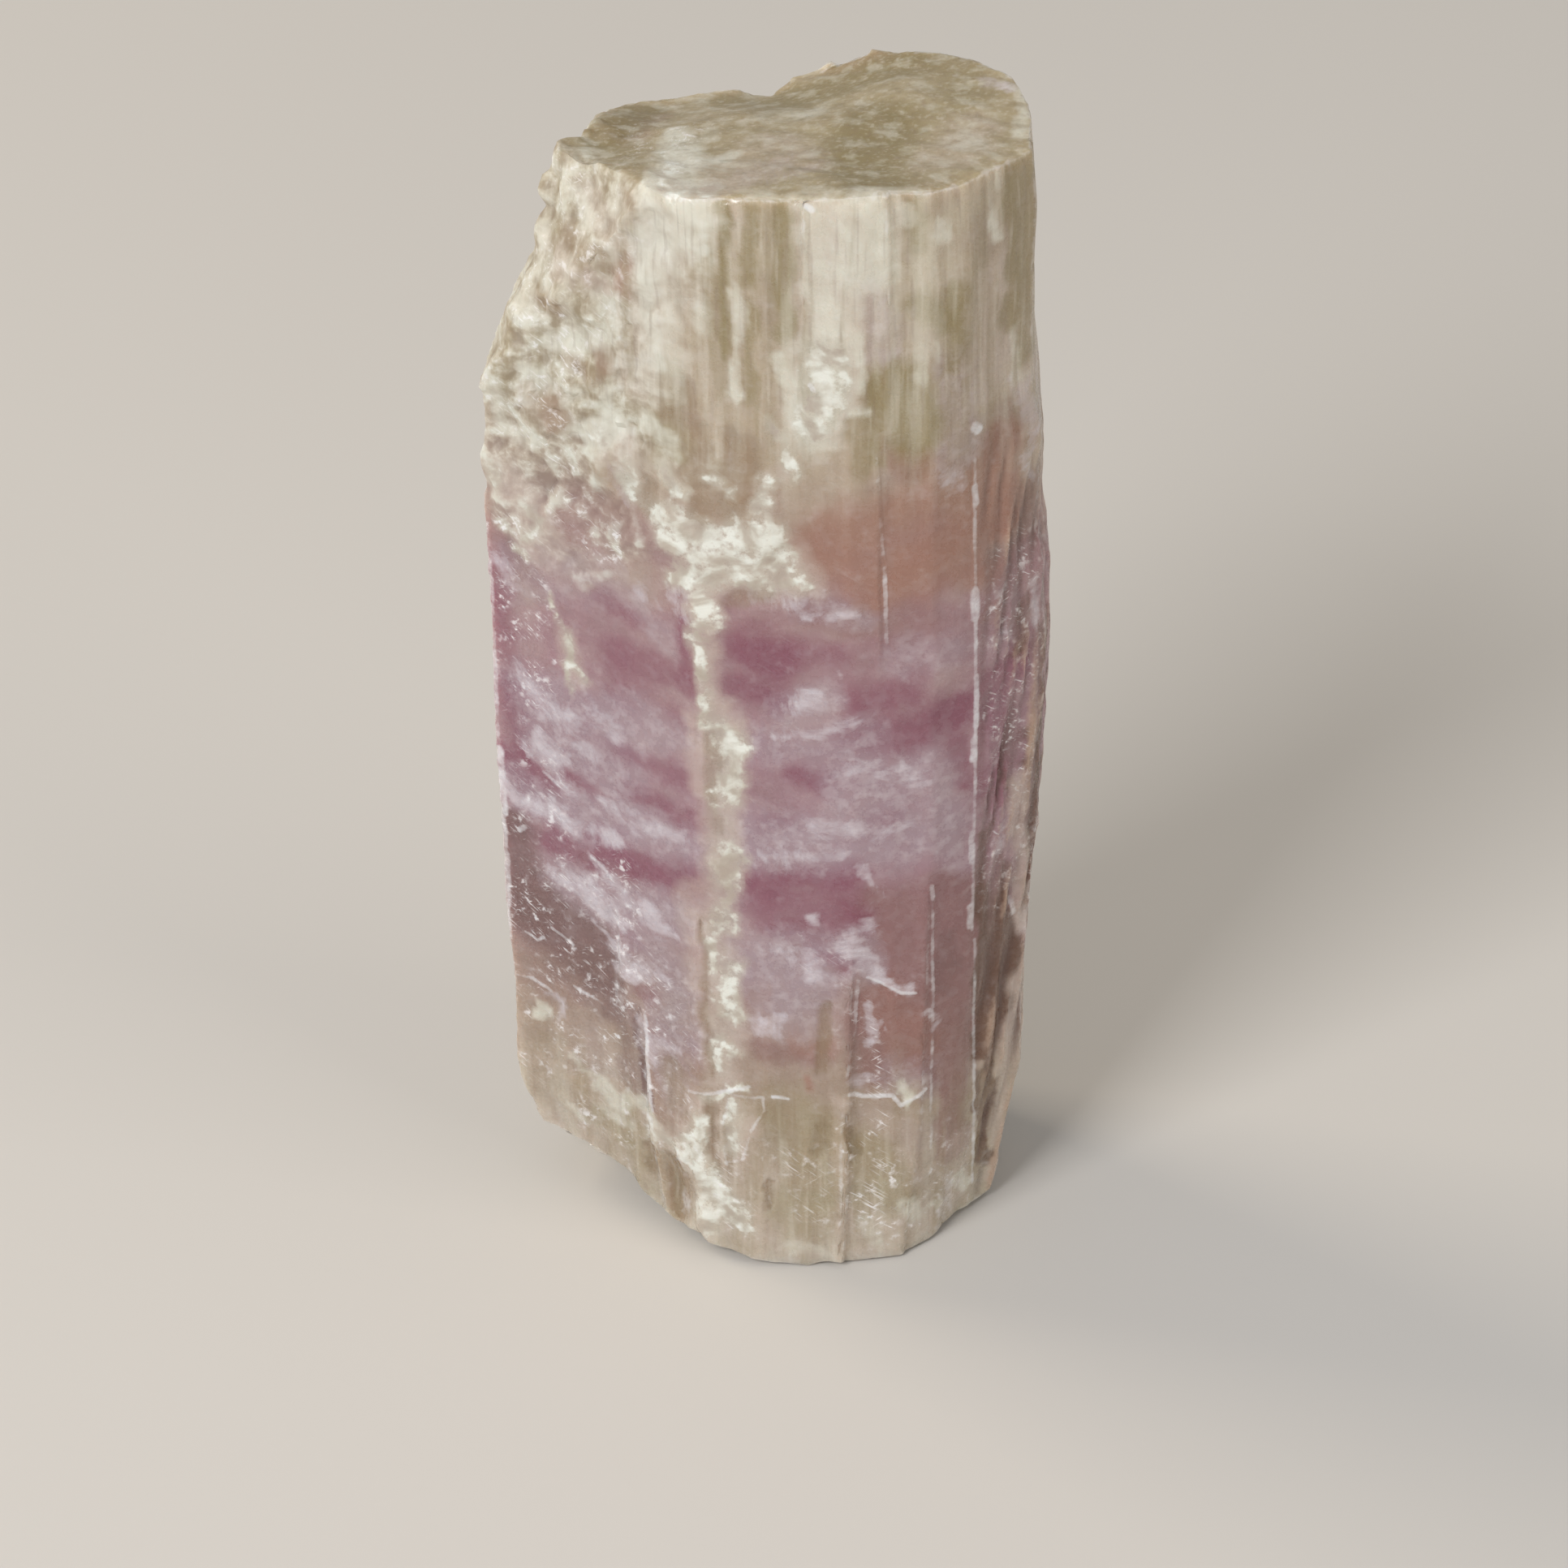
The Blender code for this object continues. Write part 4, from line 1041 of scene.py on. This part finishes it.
def makeAragonite():
    material = bpy.data.materials.new("cloudyAragonite")
    material.use_nodes = True
    tree = material.node_tree
    shader = tree.nodes["Principled BSDF"]
    look = cloudyAragonite
    place = addNode(tree, "ShaderNodeTexCoord").outputs["Object"]
    axes = addNode(tree, "ShaderNodeSeparateXYZ", {}, {0: place}).outputs

    def split(values):
        # constants are set on the socket, anything else is linked
        fixed = {i: v for i, v in values.items() if isinstance(v, (int, float))}
        return fixed, {i: v for i, v in values.items() if i not in fixed}

    def sum2(operation, a, b):
        fixed, fed = split({0: a, 1: b})
        return addNode(tree, "ShaderNodeMath", {"operation": operation, **fixed}, fed).outputs[0]

    def remap(value, low, high, toLow=0.0, toHigh=1.0):
        settings = {"From Min": low, "From Max": high, "To Min": toLow, "To Max": toHigh, "clamp": True}
        return addNode(tree, "ShaderNodeMapRange", settings, {"Value": value}).outputs["Result"]

    def painted(name):
        return addNode(tree, "ShaderNodeAttribute", {"attribute_name": name}).outputs["Fac"]

    def laid(size, turn, source):
        settings = {"vector_type": "TEXTURE", "Scale": [s * mm for s in size], "Rotation": (0, math.radians(turn), 0)}
        return addNode(tree, "ShaderNodeMapping", settings, {"Vector": source}).outputs[0]

    def clouds(vector, detail, roughness):
        settings = {"Scale": 1.0, "Detail": detail, "Roughness": roughness}
        return addNode(tree, "ShaderNodeTexNoise", settings, {"Vector": vector}).outputs

    def broken(mask, texture, depth, low, high):
        # a painted mask whose soft edge is broken up by a texture
        lifted = sum2("MULTIPLY_ADD", sum2("SUBTRACT", texture, 0.5), depth)
        lifted.node.inputs[2].default_value = 0.0
        tree.links.new(mask, lifted.node.inputs[2])
        return sum2("MULTIPLY", remap(lifted, low, high), remap(mask, 0.02, 0.15))

    def over(under, factor, colour, opacity=1.0):
        share = sum2("MULTIPLY", factor, opacity)
        node = addNode(tree, "ShaderNodeMix", {"data_type": "RGBA"}, {0: share})
        for socket, value in ((6, under), (7, colour)):
            if isinstance(value, str):
                node.inputs[socket].default_value = toLinear(value)
            else:
                tree.links.new(value, node.inputs[socket])
        return node.outputs[2]

    size, reach = look["warp"]
    bends = clouds(laid(size, 0, place), 0, 0.5)["Color"]
    bends = addNode(tree, "ShaderNodeVectorMath", {"operation": "SUBTRACT", 1: (0.5, 0.5, 0.5)}, {0: bends}).outputs[0]
    settings = {"operation": "MULTIPLY_ADD", 1: [reach * mm * 2.0] * 3}
    bent = addNode(tree, "ShaderNodeVectorMath", settings, {0: bends, 2: place}).outputs[0]

    texture = {}
    for name, (size, turn, detail, roughness) in look["textures"].items():
        source = bent if name == "patch" else place
        texture[name] = clouds(laid(size, turn, source), detail, roughness)["Fac"]
    size, turns, detail, roughness = look["feather"]
    side = remap(axes["X"], -0.003, 0.001)
    run = {4: laid(size, turns[0], bent), 5: laid(size, turns[1], bent)}
    feather = addNode(tree, "ShaderNodeMix", {"data_type": "VECTOR"}, {0: side, **run}).outputs[1]
    texture["wisp"] = clouds(feather, detail, roughness)["Fac"]

    # the stone's own tone, by height, wandering a few millimetres
    wander = sum2("MULTIPLY", sum2("SUBTRACT", texture["cloud"], 0.5), 0.008)
    level = remap(sum2("ADD", axes["Z"], wander), 0.0, 0.040)
    ramp = addNode(tree, "ShaderNodeValToRGB", {}, {0: level})
    stops = ramp.color_ramp.elements
    while len(stops) < len(look["body"]):
        stops.new(0.5)
    for stop, (height, colour) in zip(stops, look["body"]):
        stop.position = height / 40.0
        stop.color = toLinear(colour)
    tone = ramp.outputs[0]
    tone = over(tone, remap(texture["cloud"], 0.50, 0.75), "#C4B8B0", 0.30)
    tone = over(tone, remap(texture["cloud"], 0.50, 0.25), "#7E625C", 0.22)
    tone = over(tone, remap(texture["patch"], 0.50, 0.75), "#CBBFB8", 0.15)
    tone = over(tone, remap(texture["patch"], 0.48, 0.25), "#7C625A", 0.15)

    # the top's greyer colour, darkened further as a painted shade against the light from above
    tone = over(tone, painted("cap"), look["capToneAndShade"], 0.75)
    streaks = sum2("MULTIPLY", painted("cap"), remap(texture["wisp"], 0.48, 0.75))
    tone = over(tone, streaks, "#C2B7A0", 0.12)

    # sugary break: pale grains with brownish gaps; the tone follows the carved grain relief, so the hollows carry a
    # painted shade and the crests a painted highlight
    sugar = broken(painted("sugar"), texture["patch"], 1.0, 0.15, 0.75)
    grainTone = sum2("ADD", sum2("MULTIPLY", painted("grain"), 0.34), sum2("MULTIPLY", texture["crumb"], 0.75))
    grainTone = sum2("ADD", grainTone, sum2("MULTIPLY", sum2("SUBTRACT", texture["patch"], 0.5), 1.2))
    grainTone = sum2("ADD", grainTone, -0.01)
    low = remap(axes["Z"], 0.0315, 0.0270)
    gap = over(look["sugarGapShade"], low, look["lowSugarGapShade"])
    grainBody = over(look["sugarMid"], low, look["lowSugarMid"])
    sugarColour = over(gap, remap(grainTone, 0.30, 0.58), grainBody)
    sugarColour = over(sugarColour, remap(grainTone, 0.52, 0.78), look["sugarLight"])
    tone = over(tone, sugar, sugarColour, 0.88)

    for mask, name, depth, low, high, opacity, colour in look["layers"]:
        tone = over(tone, broken(painted(mask), texture[name], depth, low, high), colour, opacity)

    # growth lines of the upper half, frosty on their crests
    upper = remap(axes["Z"], 0.028, 0.033)
    ends = sum2("MAXIMUM", upper, remap(axes["Z"], 0.008, 0.004, 0.0, 0.8))
    lines = sum2("MULTIPLY", remap(texture["column"], 0.50, 0.66), ends)
    tone = over(tone, lines, "#CFCBBC", 0.42)
    lines = sum2("MULTIPLY", remap(texture["column"], 0.48, 0.36), ends)
    tone = over(tone, lines, "#8C7D5C", 0.40)
    tone = over(tone, sum2("MULTIPLY", remap(texture["fineLine"], 0.56, 0.72), ends), "#D8D1C4", 0.24)
    tone = over(tone, sum2("MULTIPLY", remap(texture["fineLine"], 0.42, 0.28), ends), "#80695E", 0.20)
    frost = sum2("MULTIPLY", remap(texture["crumb"], 0.48, 0.64), remap(painted("haze"), 0.1, 0.9, 0.25, 1.0))
    tone = over(tone, frost, "#DAD3D5", 0.20)

    # slanting fibres of the right face, coloured by their carved relief: pale crests that are a painted highlight,
    # dark brown furrows that are a painted shade
    onRight = painted("right")
    fibre = painted("fibre")
    tone = over(tone, sum2("MULTIPLY", remap(fibre, 0.45, 0.05), onRight), look["fibreFurrowShade"], 0.65)
    crestHighlight = broken(remap(fibre, 0.5, 1.0), texture["crumb"], 1.2, 0.3, 0.9)
    tone = over(tone, sum2("MULTIPLY", crestHighlight, onRight), look["fibreCrestHighlight"], 0.7)

    # cream crust, thick and bright in the middle of its knobs
    halo = broken(painted("crust"), texture["patch"], 1.0, 0.0, 0.8)
    tone = over(tone, halo, look["crustMid"], 0.55)
    crust = broken(painted("crust"), texture["crumb"], 2.6, 0.50, 0.95)
    crustColour = over(look["crustDark"], remap(texture["patch"], 0.32, 0.50), look["crustMid"])
    crustColour = over(crustColour, remap(texture["patch"], 0.44, 0.60), look["crustLight"])
    tone = over(tone, crust, crustColour, 0.92)

    # worn edges, partly a painted highlight on the cap's rim and the right side; pale lines, partly painted highlights
    # and glints; scratches; and specks, partly painted glints
    edge = broken(painted("wearAndSheen"), texture["crumb"], 2.8, 0.55, 1.1)
    lineBreaks = sum2("MULTIPLY", sum2("ADD", texture["crumb"], texture["patch"]), 0.5)
    lineAndHighlight = broken(painted("lineAndHighlight"), lineBreaks, 2.4, 0.45, 1.20)
    scratch = sum2("MAXIMUM", remap(texture["scratch"], 0.63, 0.73), remap(texture["crossScratch"], 0.67, 0.77))
    gathered = sum2("MULTIPLY", remap(painted("fleck"), 0.0, 0.8, 0.08, 1.0), remap(texture["patch"], 0.42, 0.60))
    scratch = sum2("MULTIPLY", scratch, gathered)
    # white crumb specks, also standing in as painted glints
    speckAndGlint = sum2("MULTIPLY", remap(texture["crumb"], 0.58, 0.66), gathered)
    tone = over(tone, edge, look["fleck"], 0.22)
    tone = over(tone, lineAndHighlight, "#DFE0E3", 0.72)
    tone = over(tone, speckAndGlint, look["fleck"], 0.75)
    tone = over(tone, scratch, look["fleck"], 0.80)
    tree.links.new(tone, shader.inputs["Base Color"])

    dull = sum2("MAXIMUM", crust, sugar)
    rough = sum2("ADD", sum2("MULTIPLY", dull, 0.22), remap(texture["crumb"], 0.3, 0.7, 0.16, 0.40))
    rough = sum2("ADD", rough, sum2("MULTIPLY", painted("cap"), 0.15))
    tree.links.new(rough, shader.inputs["Roughness"])

    relief = sum2("ADD", sum2("MULTIPLY", texture["fineLine"], 0.5), texture["crumb"])
    bump = addNode(tree, "ShaderNodeBump", {"Strength": 0.6, "Distance": 0.00004}, {"Height": relief})
    tree.links.new(bump.outputs[0], shader.inputs["Normal"])

    shader.inputs["Metallic"].default_value = 0.0
    shader.inputs["IOR"].default_value = 1.6
    tree.links.new(remap(dull, 0.0, 1.0, 0.70, 0.30), shader.inputs["Subsurface Weight"])
    shader.inputs["Subsurface Radius"].default_value = (1.0, 0.82, 0.74)
    shader.inputs["Subsurface Scale"].default_value = 0.0016
    return material


crystal.data.materials.append(makeAragonite())
print("aragonite finish ready")
